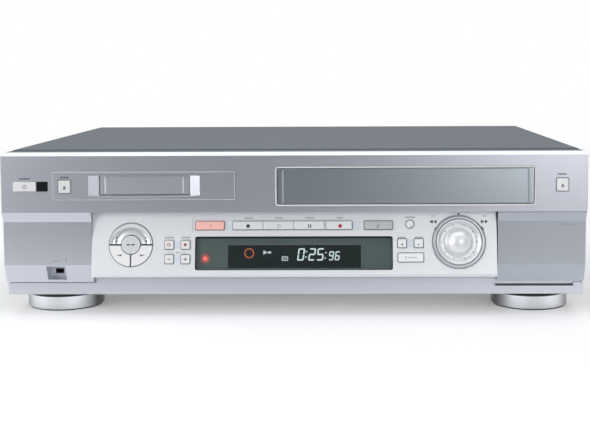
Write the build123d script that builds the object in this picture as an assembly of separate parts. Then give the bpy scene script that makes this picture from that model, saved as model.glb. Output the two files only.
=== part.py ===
"""Video recorder with two cassette bays: a full-size tape bay and a small-cassette bay.

Millimetres. +X is the viewer's right, +Y runs to the back and +Z is up. The origin is at the
centre of the box that holds the recorder, on the surface that it stands on. Depths in this file
are measured back from the upper front face, and heights from the surface that it stands on.
"""
import os
from dataclasses import dataclass
from math import atan, cos, radians, sin, tan

from build123d import *

# Overall size; the upper face keeps its height and the lower front takes up the rest
WIDTH = 455.0
HEIGHT = 129.5
BODY_DEPTH = 338.0
UPPER_H = 47.2
FOOT_H = 15.2
SOCKET_REACH = 12.0
RIGHT_X = WIDTH / 2
LEFT_X = -WIDTH / 2
SPLIT_Z = HEIGHT - UPPER_H
UNDERSIDE_Z = FOOT_H

# Sheet metal and mouldings
SHEET = 1.0
WALL = 2.5
THIN_WALL = 1.8
RUNNING_GAP = 0.06
PART_GAP = 0.3
FIT_GAP = 0.2
DOOR_GAP = 0.5

# Front moulding, seen from the side
CHAMFER = 3.0
COVER_LAP = 0.2
BLOCK_TOP_D = 3.8
BLOCK_TOP_Z = SPLIT_Z - 7.8
BLOCK_LOW_D = 4.2
BLOCK_LOW_Z = UNDERSIDE_Z + 25.1
BLOCK_FOOT_D = 10.0
BLOCK_FOOT_Z = UNDERSIDE_Z + 10.6
BLOCK_INNER_X = RIGHT_X - 69.2
DRAWN_INNER_X = 158.3
STRETCH = BLOCK_INNER_X / DRAWN_INNER_X
RAIL_FRONT = 14.7
RAIL_T = 2.3
RAIL_TOP_Z = UNDERSIDE_Z + 15.7
LUG_REACH = 8.0
LUG_H = 12.0
LUGS = ((-1, UNDERSIDE_Z + 24.8), (-1, SPLIT_Z + 17.7), (1, SPLIT_Z + 17.7))
TRAY_LIP_Z = UNDERSIDE_Z + 8.8

# Chin bar along the foot of the front
TRIM_FRONT = 13.0
TRIM_TOP_Z = UNDERSIDE_Z + 9.4
TRIM_BAR_TOP_Z = UNDERSIDE_Z + 13.3
TRIM_BAR_PROUD = 0.3
TRIM_END_GAP = 0.2
FINGER_SLOT_Z = UNDERSIDE_Z + 6.6
FINGER_SLOT_END = RIGHT_X - 8.0

# Inclined control plate
PANEL_TOP_D = 8.4
PANEL_TOP_Z = SPLIT_Z - FIT_GAP
PANEL_FOOT_D = -1.0
PANEL_FOOT_Z = UNDERSIDE_Z + 18.3
PANEL_T = 2.5
PANEL_RIM_R = 1.6
PANEL_RETURN_Z = PANEL_FOOT_Z - 2.2
PANEL_LEAN = atan((PANEL_TOP_D - PANEL_FOOT_D) / (PANEL_TOP_Z - PANEL_FOOT_Z))
PANEL_MID_D = (PANEL_TOP_D + PANEL_FOOT_D) / 2
PANEL_MID_Z = (PANEL_TOP_Z + PANEL_FOOT_Z) / 2
DRAWN_PANEL_H = 48.6
RISE = (PANEL_TOP_Z - PANEL_FOOT_Z) / DRAWN_PANEL_H

# Jog dial and shuttle ring
DIAL_X = 128.6 * STRETCH
DIAL_Z = PANEL_MID_Z + 0.4 * RISE
JOG_R = 17.6 * RISE
JOG_RIM_H = 3.2
JOG_DISH_H = 1.8
DOME_R = 9.7 * RISE
DOME_H = 7.5
DIMPLE_R = 1.0
DIMPLE_CIRCLE_R = 13.6 * RISE
DIMPLES = 10
SHUTTLE_R = 20.4 * RISE
SHUTTLE_H = 2.2
SHUTTLE_SKIRT_R = 19.0 * RISE
ENCODER_SHAFT_R = 3.0

# Direction wheel
WHEEL_X = -127.4 * STRETCH
WHEEL_Z = PANEL_MID_Z - 1.3 * RISE
WHEEL_R = 16.8 * RISE
WHEEL_CENTRE_R = 7.2 * RISE
WHEEL_INNER_R = 7.8 * RISE
WHEEL_SLOT = 1.2
WHEEL_PROUD = 0.8
WHEEL_DISH = 1.3
WHEEL_FLANGE = 1.5

# Display
WINDOW_X = 77.2 * STRETCH
WINDOW_LOW_Z = PANEL_FOOT_Z + 3.5 * RISE
WINDOW_TOP_Z = PANEL_TOP_Z - 19.4 * RISE
WINDOW_R = 1.6
WINDOW_LIP = 0.8
TUBE_X = 53.5 * STRETCH
TUBE_LOW_Z = WINDOW_LOW_Z + 1.6 * RISE
TUBE_TOP_Z = WINDOW_TOP_Z - 6.7 * RISE
TUBE_DEPTH = 7.0
LED_X = 69.4 * STRETCH
LED_ROWS = (PANEL_MID_Z - 11.9 * RISE, PANEL_MID_Z - 0.8 * RISE)
LED_R = 1.5

# Buttons
BUTTON_TRAVEL = 0.8
BUTTON_PROUD = 1.2
FACE_PROUD = 0.9
BUTTON_EDGE = 0.4
LEVER_H = 6.3
SQUARE = 6.6
MODE_X = 90.6 * STRETCH
TRANSPORT_Z = PANEL_TOP_Z - 11.0 * RISE
MODE_Z = TRANSPORT_Z + 0.7
LEFT_ROWS = (PANEL_MID_Z - 1.4 * RISE, PANEL_MID_Z - 12.4 * RISE)
RIGHT_ROWS = (PANEL_MID_Z - 0.5 * RISE, PANEL_MID_Z - 11.4 * RISE)
MODE_R = 3.0

# Centre x, centre height, width and height of each button on the inclined plate, as drawn
PLATE_KEYS = {
    "mini_select_button": (-65.7, TRANSPORT_Z, 22.0, LEVER_H),
    "stop_button": (-35.85, TRANSPORT_Z, 23.3, LEVER_H),
    "play_button": (-11.95, TRANSPORT_Z, 23.7, LEVER_H),
    "pause_button": (11.95, TRANSPORT_Z, 23.3, LEVER_H),
    "record_button": (35.4, TRANSPORT_Z, 19.8, LEVER_H),
    "tape_select_button": (65.9, TRANSPORT_Z, 21.6, LEVER_H),
    "insert_button": (-97.3, LEFT_ROWS[0], SQUARE, SQUARE),
    "audio_dub_button": (-84.6, LEFT_ROWS[0], SQUARE, SQUARE),
    "channel_down_button": (-97.3, LEFT_ROWS[1], SQUARE, SQUARE),
    "channel_up_button": (-84.6, LEFT_ROWS[1], SQUARE, SQUARE),
    "edit_button": (84.4, RIGHT_ROWS[0], SQUARE, SQUARE),
    "start_button": (97.4, RIGHT_ROWS[0], SQUARE, SQUARE),
    "in_out_button": (91.1, RIGHT_ROWS[1], 19.6, SQUARE),
}
PLATE_BUTTONS = {name: (x * STRETCH, z, w * STRETCH, h * RISE)
                 for name, (x, z, w, h) in PLATE_KEYS.items()}
ROW_FRAME_X = 79.6 * STRETCH
ROW_FRAME_MARGIN = 1.7
ROW_FRAME_DEPTH = 0.5

# Control board behind the plate
BOARD_T = 1.6
BOARD_SET = 14.0
BOARD_X = BLOCK_INNER_X - 6.3
BOARD_HALF_S = 21.0 * RISE
SWITCH = 6.0
SWITCH_H = 3.5

# Upper face: buttons and sensor window
POWER_X = LEFT_X + 18.5
POWER_Z = SPLIT_Z + 20.45
POWER_W = 18.0
POWER_H = 7.4
SENSOR_END_X = LEFT_X + 36.4
EJECT_W = 9.2
EJECT_H = 9.8
MINI_EJECT_X = LEFT_X + 49.85
MINI_EJECT_Z = SPLIT_Z + 20.4
TAPE_EJECT_X = RIGHT_X - 19.6
TAPE_EJECT_Z = SPLIT_Z + 21.0

# Small-cassette surround
SURROUND_X0 = LEFT_X + 40.5
SURROUND_W = 141.7
SURROUND_X1 = SURROUND_X0 + SURROUND_W
SURROUND_Z0 = SPLIT_Z + 9.9
SURROUND_Z1 = SPLIT_Z + 31.8
SURROUND_PROUD = 0.8
SURROUND_BACK = 2.4
RAMP_RUN = 7.9
SCOOP_RISE = 1.5
SCOOP_DEPTH = 1.3
MINI_DOOR_W = 70.0
MINI_DOOR_H = 14.8
MINI_DOOR_LOW_Z = SPLIT_Z + 13.8
MINI_DOOR_D = 1.8
MINI_DOOR_T = 1.8

# Tape door and its bright frame
TAPE_DOOR_W = 198.6
TAPE_DOOR_H = 27.6
TAPE_DOOR_LOW_Z = SPLIT_Z + 6.4
TAPE_DOOR_D = 0.4
TAPE_DOOR_T = 2.0
DOOR_RAISE = 0.5
DOOR_MARGIN = 3.7
DOOR_RIB_INSET = 4.7
RIB_R = 0.5
RIB_MARGIN = 1.2
FRAME_W = 1.7
FRAME_PROUD = 0.8
FRAME_R = 3.0
HINGE_PIN_R = 1.5
HINGE_HUB_R = 2.2
HINGE_BEHIND = 5.0
MINI_PIN_R = 1.1
MINI_HUB_R = 1.7
MINI_HINGE_BEHIND = 5.6

# Jack bay behind the pull-down door
JACK_DOOR_T = 2.2
JACK_FOOT_T = 1.3
JACK_THIN_Z = UNDERSIDE_Z + 18.8
JACK_HINGE_D = 12.2
JACK_HINGE_Z = UNDERSIDE_Z + 13.4
JACK_PIN_R = 1.0
JACK_HUB_R = 1.6
JACK_DOOR_FOOT_Z = UNDERSIDE_Z + 11.0
JACK_DOOR_TOP_GAP = 0.4
JACK_SKIRT_D = 13.2
BAY_X0 = BLOCK_INNER_X + 4.6
BAY_X1 = RIGHT_X - 4.9
BAY_LOW_Z = UNDERSIDE_Z + 16.8
BAY_TOP_Z = SPLIT_Z - 2.8
BAY_FRONT = 10.8
BAY_BACK = 28.0

# Round sockets, front and back
PLUG_R = 4.15
PLUG_BORE_R = 1.7
PLUG_LENGTH = 9.0
MINI_DIN_R = 5.6
FRONT_SOCKET_Z = BAY_LOW_Z + 16.0 * RISE
FRONT_DIN_X = BLOCK_INNER_X + 30.7
FRONT_DIN_Z = FRONT_SOCKET_Z + 18.0 * RISE
SOCKET_PITCH = 14.0
FRONT_SOCKET_X = (FRONT_DIN_X - SOCKET_PITCH, FRONT_DIN_X, FRONT_DIN_X + SOCKET_PITCH)
FRONT_BLOCK_T = 6.0
COLLAR_W = 1.85
COLLAR_T = 2.5

# Digital link pocket in the lower left block
LINK_X0 = LEFT_X + 33.0
LINK_X1 = LINK_X0 + 14.8
LINK_Z0 = UNDERSIDE_Z + 12.7
LINK_Z1 = LINK_Z0 + 11.4
LINK_BACK = 17.0
LINK_OPEN_W = 6.4
LINK_OPEN_H = 3.6
LINK_BODY = (12.0, 9.0, 10.0)
LINK_WALL = 0.6
LINK_MOUTH_DEPTH = 5.0

# Bottom, feet
FOOT_X = RIGHT_X - 36.5
FOOT_FRONT_D = 52.0
FOOT_REAR_D = BODY_DEPTH - 48.0
FOOT_R = 30.8
FOOT_NECK_R = 27.5
FOOT_NECK_H = 2.4
PAD_R = 29.4
PAD_H = 1.6
PAD_SEAT = 0.6

# Cover
COVER_X = RIGHT_X - 1.2
COVER_BEND_R = 2.0
STRIP_DEPTH = 26.0
STRIP_DROP = 0.6
SIDE_SLOTS = 9
SIDE_SLOT_W = 3.0
SIDE_SLOT_H = 26.0
SIDE_SLOT_PITCH = 8.0
REAR_LIP = 9.0

# Screws
SCREW_R = 1.4
SCREW_HEAD_R = 3.2
SCREW_HEAD_H = 1.1
SCREW_LENGTH = 5.0
SIDE_SCREW_D = (70.0, BODY_DEPTH - 68.0)
SIDE_SCREW_Z = UNDERSIDE_Z + 8.8
REAR_SCREW_X = (LEFT_X + 47.5, 0.0, RIGHT_X - 47.5)

# Rear sockets
AERIAL_X = RIGHT_X - 77.5
REAR_PITCH = 24.0
REAR_COLUMNS = tuple(AERIAL_X - 130.0 + i * REAR_PITCH for i in range(3))
REAR_ROWS = (UNDERSIDE_Z + 46.8, UNDERSIDE_Z + 68.8)
REAR_DIN_X = AERIAL_X - 56.0
AERIAL_R = 4.6
INLET_X = LEFT_X + 42.5
INLET_Z = UNDERSIDE_Z + 34.8
INLET_W = 17.2
INLET_H = 8.6
INLET_DEPTH = 14.0
INLET_PIN_R = 1.2
INLET_PIN_PITCH = 8.6

# Circuit boards in the body
STANDOFF_R = 3.0
STANDOFF_H = 6.0
STANDOFF_INSET = 8.0
MAIN_X0 = LEFT_X + 9.5
MAIN_FRONT = 30.0
MAIN_BACK = BODY_DEPTH - 20.0
SUPPLY_X0 = LEFT_X + 11.5
SUPPLY_X1 = SUPPLY_X0 + 104.0
SUPPLY_L = 122.0
SUPPLY_FRONT = MAIN_BACK - SUPPLY_L
MAIN_MID = SUPPLY_FRONT - 11.0
LEG_R = 3.5

# Chips on the main board: place in from its front left corner, width, length, height
LEFT_CHIPS = ((28, 30, 22, 22, 3), (98, 70, 28, 28, 3), (28, 120, 10, 30, 8))
LEFT_CAPACITORS = ((18, 80, 4, 9), (68, 120, 5, 11))
# Chips of the right part: place in from its back right corner
RIGHT_CHIPS = ((36, 258, 20, 20, 2.5), (36, 178, 24, 24, 3), (42, 88, 30, 14, 14), (36, 38, 22, 22, 3))
RIGHT_CAPACITORS = ((16, 118, 6, 14), (30, 58, 5, 11))

# Parts of the supply: place in from its back left corner
CORE = (36.0, 66.0, 36.0, 32.0, 28.0)
COIL = (44.0, 24.0, 6.0, 22.0)
RESERVOIR = (20.0, 93.0, 11.0, 32.0)
SMOOTHER = (88.0, 96.0, 6.0, 20.0)
FILTER = (28.0, 19.0, 24.0, 14.0, 16.0)
SINK_X = 82.0
SINK_T = 3.0
SINK_H = 34.0
SINK_BACK = 18.0
FIN_PITCH = 10.0
FINS = 6
FIN_T = 2.0
FIN_REACH = 14.0
FIN_LOW = 8.0

# Vent slots
TRAY_SLOT = (4.0, 50.0, 12.0)
TRAY_SLOTS = 10
TRAY_FRONT_SLOTS = (-60.0, 90.0)
TRAY_REAR_SLOTS = (20.0, BODY_DEPTH - 118.0)
REAR_SLOT = (3.5, 26.0, 9.0)
REAR_SLOTS = 12
REAR_SLOTS_X = LEFT_X + 67.5
REAR_SLOTS_Z = HEIGHT - 51.5
SIDE_SLOTS_Z = HEIGHT - 49.5
TRAY_SIDE_H = 14.0


@dataclass(frozen=True)
class Bay:
    """Sizes of one cassette mechanism; depths and heights as everywhere in this file."""

    x: float
    width: float
    length: float
    thick: float
    seat_z: float
    front: float
    travel: float
    drop: float
    rail: float
    pin_r: float
    pin_inset: float
    sheet: float
    plate_z: float
    plate_back: float

    @property
    def inner(self):
        """Half the room inside the carrier."""
        return self.width / 2 + 0.75

    @property
    def outer(self):
        """Half the carrier's width."""
        return self.inner + self.sheet

    @property
    def back(self):
        """Depth of the carrier's back."""
        return self.front + self.length + 2 * self.sheet

    @property
    def top_z(self):
        """Height of the carrier's top."""
        return self.seat_z + self.thick + 0.6 + self.sheet

    @property
    def pin_z(self):
        """Height of the side pins."""
        return self.seat_z + self.thick / 2

    @property
    def pins(self):
        """Depths of the two pins of one side."""
        return (self.front + self.pin_inset, self.back - self.pin_inset)

    @property
    def slide_inner(self):
        """Inner side of the slide frame's plates."""
        return self.outer + DOOR_GAP

    @property
    def slide_outer(self):
        """Outer side of the slide frame's plates."""
        return self.slide_inner + 1.5 * self.sheet

    @property
    def stud_z(self):
        """Height of the slide frame's studs."""
        return self.pin_z - self.drop - self.pin_r - 5.0

    @property
    def side_inner(self):
        """Inner side of the deck's walls."""
        return self.slide_outer + DOOR_GAP

    @property
    def side_outer(self):
        """Outer side of the deck's walls."""
        return self.side_inner + 1.2 * self.sheet


TAPE_DOOR_INSET = 41.3
MINI_DOOR_INSET = 76.7
TAPE_X = RIGHT_X - TAPE_DOOR_INSET - TAPE_DOOR_W / 2
MINI_X = LEFT_X + MINI_DOOR_INSET + MINI_DOOR_W / 2
TAPE_BAY = Bay(x=TAPE_X, width=187.0, length=103.0, thick=25.0, seat_z=TAPE_DOOR_LOW_Z + 0.3, front=37.2,
               travel=60.0, drop=26.0, rail=12.0, pin_r=1.5, pin_inset=22.0, sheet=1.0,
               plate_z=SPLIT_Z - 40.3, plate_back=MAIN_BACK)
MINI_BAY = Bay(x=MINI_X, width=66.0, length=48.0, thick=12.2, seat_z=MINI_DOOR_LOW_Z + 0.6, front=26.0,
               travel=30.0, drop=12.0, rail=6.0, pin_r=1.2, pin_inset=10.0, sheet=0.8, plate_z=SPLIT_Z - 14.3,
               plate_back=140.0)

MAIN_BOARD_GAP = 11.95
MAIN_X1 = TAPE_X - TAPE_BAY.side_outer - MAIN_BOARD_GAP

# Tape path
REEL_PITCH = 92.0
REEL_R = 16.0
REEL_POST_R = 2.5
DRUM_R = 31.0
DRUM_LEAN = 6.0
DRUM_BASE_H = 16.0
DRUM_TOP_H = 20.0
DRUM_SHAFT_R = 3.0
CAPSTAN_R = 1.5
CAPSTAN_OFFSET = 58.0
FLYWHEEL_R = 22.0
FLYWHEEL_H = 5.0
MINI_DRUM_R = 10.85
MINI_DRUM_H = 14.0
MINI_SHAFT_R = 1.5

# The origin's depth behind the upper front face: half way between the dial's crown and the sockets' tips
DIAL_REACH = DOME_H * cos(PANEL_LEAN) - PANEL_MID_D - (DIAL_Z - PANEL_MID_Z) * tan(PANEL_LEAN)
FRONT_Y = (DIAL_REACH - BODY_DEPTH - SOCKET_REACH) / 2
REAR_FACE = BODY_DEPTH - SHEET
FLOOR_Z = UNDERSIDE_Z + SHEET
CHASSIS_X = COVER_X - SHEET - FIT_GAP / 2
ROOF_Z = HEIGHT - STRIP_DROP - SHEET
SKY_Z = HEIGHT - SHEET
HALF_W = WIDTH / 2
PANEL_X = BLOCK_INNER_X - FIT_GAP

PANEL = Plane(origin=(0, FRONT_Y + PANEL_MID_D, PANEL_MID_Z), x_dir=(1, 0, 0),
              z_dir=(0, -cos(PANEL_LEAN), sin(PANEL_LEAN)))


def on_panel(height):
    """Turn a height above the ground into a distance up the inclined plate from its middle."""
    return (height - PANEL_MID_Z) / cos(PANEL_LEAN)


def block(x0, x1, d0, d1, z0, z1):
    """A box between two widths, two depths and two heights."""
    middle = Pos((x0 + x1) / 2, FRONT_Y + (d0 + d1) / 2, (z0 + z1) / 2)
    return middle * Box(abs(x1 - x0), abs(d1 - d0), abs(z1 - z0))


def slab(points, x0, x1):
    """An outline in depth and height, drawn out from one width to another."""
    outline = Polyline(*[(FRONT_Y + d, z) for d, z in points], close=True)
    face = make_face(Plane.YZ.offset(x0) * outline)
    return extrude(face, x1 - x0, dir=(1, 0, 0))


def rod_x(x0, x1, d, z, r):
    """A round bar along X."""
    return Pos((x0 + x1) / 2, FRONT_Y + d, z) * Rot(0, 90, 0) * Cylinder(r, abs(x1 - x0))


def rod_y(x, z, d0, d1, r):
    """A round bar from front to back."""
    return Pos(x, FRONT_Y + (d0 + d1) / 2, z) * Rot(90, 0, 0) * Cylinder(r, abs(d1 - d0))


def rod_z(x, d, z0, z1, r):
    """An upright round bar."""
    return Pos(x, FRONT_Y + d, (z0 + z1) / 2) * Cylinder(r, abs(z1 - z0))


def lying_block(x, d, w, l, low, h):
    """A box lying on a board, given by its middle."""
    return block(x - w / 2, x + w / 2, d - l / 2, d + l / 2, low, low + h)


def face_block(x0, x1, z0, z1, d0, d1, r):
    """A prism with rounded corners, pointing straight back from the upper face."""
    plane = Plane(origin=((x0 + x1) / 2, FRONT_Y + d0, (z0 + z1) / 2), x_dir=(1, 0, 0), z_dir=(0, -1, 0))
    return extrude(plane * RectangleRounded(x1 - x0, z1 - z0, r), d1 - d0, dir=(0, 1, 0))


def panel_block(x, s, w, h, n0, n1, r=0.0):
    """A prism square to the inclined plate; n0 and n1 are measured out from its face."""
    outline = RectangleRounded(w, h, r) if r else Rectangle(w, h)
    return PANEL * Pos(x, s, n0) * extrude(outline, n1 - n0)


def panel_rod(x, s, n0, n1, r):
    """A round bar square to the inclined plate."""
    return PANEL * Pos(x, s, (n0 + n1) / 2) * Cylinder(r, n1 - n0)


def ease(shape, edges, size):
    """Round some edges of a shape."""
    return fillet(edges, size) if edges else shape


# Front moulding

def block_line():
    """Front line of the lower blocks, from the split down to the chin."""
    return [(0, SPLIT_Z), (BLOCK_TOP_D, BLOCK_TOP_Z), (BLOCK_LOW_D, BLOCK_LOW_Z),
            (BLOCK_FOOT_D, BLOCK_FOOT_Z)]


def wing(x0, x1):
    """Closed side wall of the upper face."""
    return slab([(0, SPLIT_Z), (0, HEIGHT - CHAMFER), (CHAMFER, HEIGHT - COVER_LAP), (CHAMFER, ROOF_Z),
                 (RAIL_FRONT, ROOF_Z), (RAIL_FRONT, SPLIT_Z)], x0, x1)


def upper_face():
    """Upper face with its chamfer, roof and floor, open at the back."""
    inner_top = ROOF_Z - THIN_WALL
    line = [(0, SPLIT_Z), (0, HEIGHT - CHAMFER), (CHAMFER, HEIGHT - COVER_LAP), (CHAMFER, ROOF_Z),
            (RAIL_FRONT, ROOF_Z), (RAIL_FRONT, inner_top), (WALL + CHAMFER / 2, inner_top),
            (WALL, inner_top - CHAMFER / 2), (WALL, SPLIT_Z + THIN_WALL), (RAIL_FRONT, SPLIT_Z + THIN_WALL),
            (RAIL_FRONT, SPLIT_Z)]
    shape = slab(line, -HALF_W, HALF_W)
    for side in (-1, 1):
        shape += wing(*sorted((side * HALF_W, side * (HALF_W - WALL))))
    return shape


def left_block():
    """Lower left block with its end walls and the pocket of the link socket."""
    line = block_line()
    inner = [(d + WALL, z) for d, z in reversed(line[:-1])]
    skin = line + [(RAIL_FRONT, BLOCK_FOOT_Z), (RAIL_FRONT, BLOCK_FOOT_Z + THIN_WALL),
                   (BLOCK_FOOT_D + WALL, BLOCK_FOOT_Z + THIN_WALL)] + inner
    shape = slab(skin, -HALF_W, -BLOCK_INNER_X)
    end = line + [(RAIL_FRONT, BLOCK_FOOT_Z), (RAIL_FRONT, SPLIT_Z)]
    shape += slab(end, -HALF_W, -HALF_W + WALL)
    shape += slab(end, -BLOCK_INNER_X - WALL, -BLOCK_INNER_X)
    pocket = block(LINK_X0 - THIN_WALL, LINK_X1 + THIN_WALL, BLOCK_LOW_D + WALL, LINK_BACK + THIN_WALL,
                   LINK_Z0 - THIN_WALL, LINK_Z1 + THIN_WALL)
    shape += pocket & slab(end[:4] + [(LINK_BACK + THIN_WALL, BLOCK_FOOT_Z), (LINK_BACK + THIN_WALL, SPLIT_Z)],
                           -HALF_W, -BLOCK_INNER_X)
    shape -= block(LINK_X0, LINK_X1, -1, LINK_BACK, LINK_Z0, LINK_Z1)
    mid_x = (LINK_X0 + LINK_X1) / 2
    mid_z = (LINK_Z0 + LINK_Z1) / 2
    shape -= block(mid_x - LINK_OPEN_W / 2 - FIT_GAP, mid_x + LINK_OPEN_W / 2 + FIT_GAP, LINK_BACK - 1,
                   LINK_BACK + THIN_WALL + 1, mid_z - LINK_OPEN_H / 2 - FIT_GAP, mid_z + LINK_OPEN_H / 2 + FIT_GAP)
    return shape


def jack_bay_shell():
    """Recess for the front sockets, with the bosses that carry the pull-down door."""
    shape = block(BAY_X0 - THIN_WALL, BAY_X1 + THIN_WALL, BAY_FRONT, BAY_BACK + THIN_WALL,
                  BAY_LOW_Z - THIN_WALL, SPLIT_Z + THIN_WALL)
    shape -= block(BAY_X0, BAY_X1, BAY_FRONT - 1, BAY_BACK, BAY_LOW_Z, BAY_TOP_Z)
    for x0 in (BAY_X0 - THIN_WALL, BAY_X1):
        ear = block(x0, x0 + THIN_WALL, JACK_HINGE_D, RAIL_FRONT + 1, JACK_HINGE_Z - 0.4, BAY_LOW_Z)
        shape += ear + rod_x(x0, x0 + THIN_WALL, JACK_HINGE_D, JACK_HINGE_Z, JACK_HUB_R)
        shape -= rod_x(x0 - 1, x0 + THIN_WALL + 1, JACK_HINGE_D, JACK_HINGE_Z, JACK_PIN_R + RUNNING_GAP)
    for x in FRONT_SOCKET_X:
        shape -= rod_y(x, FRONT_SOCKET_Z, BAY_BACK - 1, BAY_BACK + THIN_WALL + 1, PLUG_R + DOOR_GAP)
    shape -= rod_y(FRONT_DIN_X, FRONT_DIN_Z, BAY_BACK - 1, BAY_BACK + THIN_WALL + 1, MINI_DIN_R + DOOR_GAP)
    return shape


def tunnel(x, half, low_z, hinge_z, hub_r, pin_r, behind, end):
    """Lead-in behind a cassette door: floor, cheeks with hinge holes, and a roof above the open door."""
    top = hinge_z + hub_r + DOOR_GAP
    shape = block(x - half - THIN_WALL, x + half + THIN_WALL, WALL, end, low_z - THIN_WALL, top + THIN_WALL)
    shape -= block(x - half, x + half, WALL, end + 1, low_z, top)
    shape -= rod_x(x - half - THIN_WALL - 1, x + half + THIN_WALL + 1, behind, hinge_z, pin_r + RUNNING_GAP)
    return shape


TAPE_HALF = TAPE_DOOR_W / 2 + DOOR_GAP
MINI_HALF = MINI_DOOR_W / 2 + DOOR_GAP
TAPE_OPEN_Z0 = TAPE_DOOR_LOW_Z - DOOR_GAP
TAPE_OPEN_Z1 = TAPE_DOOR_LOW_Z + TAPE_DOOR_H + DOOR_GAP
MINI_OPEN_Z0 = MINI_DOOR_LOW_Z - DOOR_GAP
MINI_OPEN_Z1 = MINI_DOOR_LOW_Z + MINI_DOOR_H + FIT_GAP
TAPE_HINGE_Z = TAPE_BAY.seat_z + TAPE_BAY.thick + HINGE_BEHIND - TAPE_DOOR_D + 1.2
MINI_HINGE_Z = MINI_BAY.seat_z + MINI_BAY.thick + MINI_HINGE_BEHIND - MINI_DOOR_D + 0.3
TAPE_TUNNEL_END = HINGE_BEHIND + TAPE_HINGE_Z - TAPE_DOOR_LOW_Z + PART_GAP
MINI_TUNNEL_END = MINI_HINGE_BEHIND + MINI_HINGE_Z - MINI_DOOR_LOW_Z + PART_GAP


def front_panel():
    """The whole front moulding."""
    shape = upper_face() + left_block() + jack_bay_shell()
    shape += block(-CHASSIS_X, CHASSIS_X, RAIL_FRONT, RAIL_FRONT + RAIL_T, UNDERSIDE_Z + FIT_GAP, RAIL_TOP_Z)
    shape += block(-HALF_W + WALL, -BLOCK_INNER_X, RAIL_FRONT - 1, RAIL_FRONT + 1, BLOCK_FOOT_Z, RAIL_TOP_Z)
    shape += tunnel(TAPE_X, TAPE_HALF, TAPE_OPEN_Z0, TAPE_HINGE_Z, HINGE_HUB_R, HINGE_PIN_R, HINGE_BEHIND,
                    TAPE_TUNNEL_END)
    shape += tunnel(MINI_X, MINI_HALF, MINI_OPEN_Z0, MINI_HINGE_Z, MINI_HUB_R, MINI_PIN_R, MINI_HINGE_BEHIND,
                    MINI_TUNNEL_END)
    frame = FRAME_W - DOOR_GAP
    shape -= face_block(TAPE_X - TAPE_HALF - frame, TAPE_X + TAPE_HALF + frame, TAPE_OPEN_Z0 - frame,
                        TAPE_OPEN_Z1 + frame, -1, WALL, FRAME_R - DOOR_GAP)
    shape -= face_block(*surround_plug(FIT_GAP), -1, WALL + 0.01, 0.5)
    shape -= face_block(POWER_X - POWER_W / 2 - FIT_GAP, SENSOR_END_X + FIT_GAP, POWER_Z - POWER_H / 2 - FIT_GAP,
                        POWER_Z + POWER_H / 2 + FIT_GAP, -1, WALL + 1, 0.8)
    shape -= eject_hole(MINI_EJECT_X, MINI_EJECT_Z) + eject_hole(TAPE_EJECT_X, TAPE_EJECT_Z)
    for side, z in LUGS:
        x0, x1 = sorted((side * CHASSIS_X, side * (HALF_W - WALL - 2)))
        shape += block(x0, x1, RAIL_FRONT - 3, RAIL_FRONT + LUG_REACH, z, z + LUG_H)
    return shape - block(LINK_X0, LINK_X1, -1, LINK_BACK, LINK_Z0, LINK_Z1)


def eject_hole(x, z):
    """Opening for an eject button, through the face and anything in front of it."""
    return face_block(x - EJECT_W / 2 - FIT_GAP, x + EJECT_W / 2 + FIT_GAP, z - EJECT_H / 2 - FIT_GAP,
                      z + EJECT_H / 2 + FIT_GAP, -SURROUND_PROUD - 1, WALL + 1, 1.0)


def surround_plug(gap):
    """Edges of the surround's plug in the upper face, with a gap added all round."""
    return (MINI_X - MINI_HALF - RAMP_RUN - gap, MINI_X + MINI_HALF + RAMP_RUN + gap,
            MINI_OPEN_Z0 - SCOOP_RISE - gap, MINI_OPEN_Z1 + SCOOP_RISE + gap)


def mini_surround():
    """Raised plate round the small cassette's door, with side ramps and arched scoops."""
    shape = face_block(SURROUND_X0, SURROUND_X1, SURROUND_Z0, SURROUND_Z1, -SURROUND_PROUD, 0, 0.8)
    shape += face_block(*surround_plug(0), -0.1, SURROUND_BACK, 0.5)
    low, high = MINI_OPEN_Z0, MINI_OPEN_Z1
    ramp = Polyline((MINI_X - MINI_HALF - RAMP_RUN, FRONT_Y - SURROUND_PROUD - 0.01),
                    (MINI_X - MINI_HALF, FRONT_Y + MINI_DOOR_D), (MINI_X - MINI_HALF, FRONT_Y + SURROUND_BACK + 1),
                    (MINI_X + MINI_HALF, FRONT_Y + SURROUND_BACK + 1), (MINI_X + MINI_HALF, FRONT_Y + MINI_DOOR_D),
                    (MINI_X + MINI_HALF + RAMP_RUN, FRONT_Y - SURROUND_PROUD - 0.01), close=True)
    shape -= extrude(make_face(Plane.XY.offset(low) * ramp), high - low, dir=(0, 0, 1))
    reach = MINI_HALF + RAMP_RUN
    for z, way in ((low, -1), (high, 1)):
        arch = (Line((-reach, 0), (reach, 0))
                + ThreePointArc((-reach, 0), (0, way * (SCOOP_RISE - 0.3)), (reach, 0)))
        plane = Plane(origin=(MINI_X, FRONT_Y - SURROUND_PROUD - 0.1, z), x_dir=(1, 0, 0), z_dir=(0, -1, 0))
        shape -= extrude(make_face(plane * arch), SCOOP_DEPTH + 0.1, dir=(0, 1, 0))
    return shape - eject_hole(MINI_EJECT_X, MINI_EJECT_Z)


def tape_door_trim():
    """Bright frame round the tape door."""
    out, d0 = FRAME_W - DOOR_GAP - FIT_GAP, -FRAME_PROUD
    ring = face_block(TAPE_X - TAPE_HALF - out, TAPE_X + TAPE_HALF + out, TAPE_OPEN_Z0 - out, TAPE_OPEN_Z1 + out,
                      d0, WALL - FIT_GAP, FRAME_R - DOOR_GAP)
    ring -= face_block(TAPE_X - TAPE_HALF, TAPE_X + TAPE_HALF, TAPE_OPEN_Z0, TAPE_OPEN_Z1, d0 - 1, WALL + 1,
                       FRAME_R - FRAME_W)
    return ring


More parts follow.
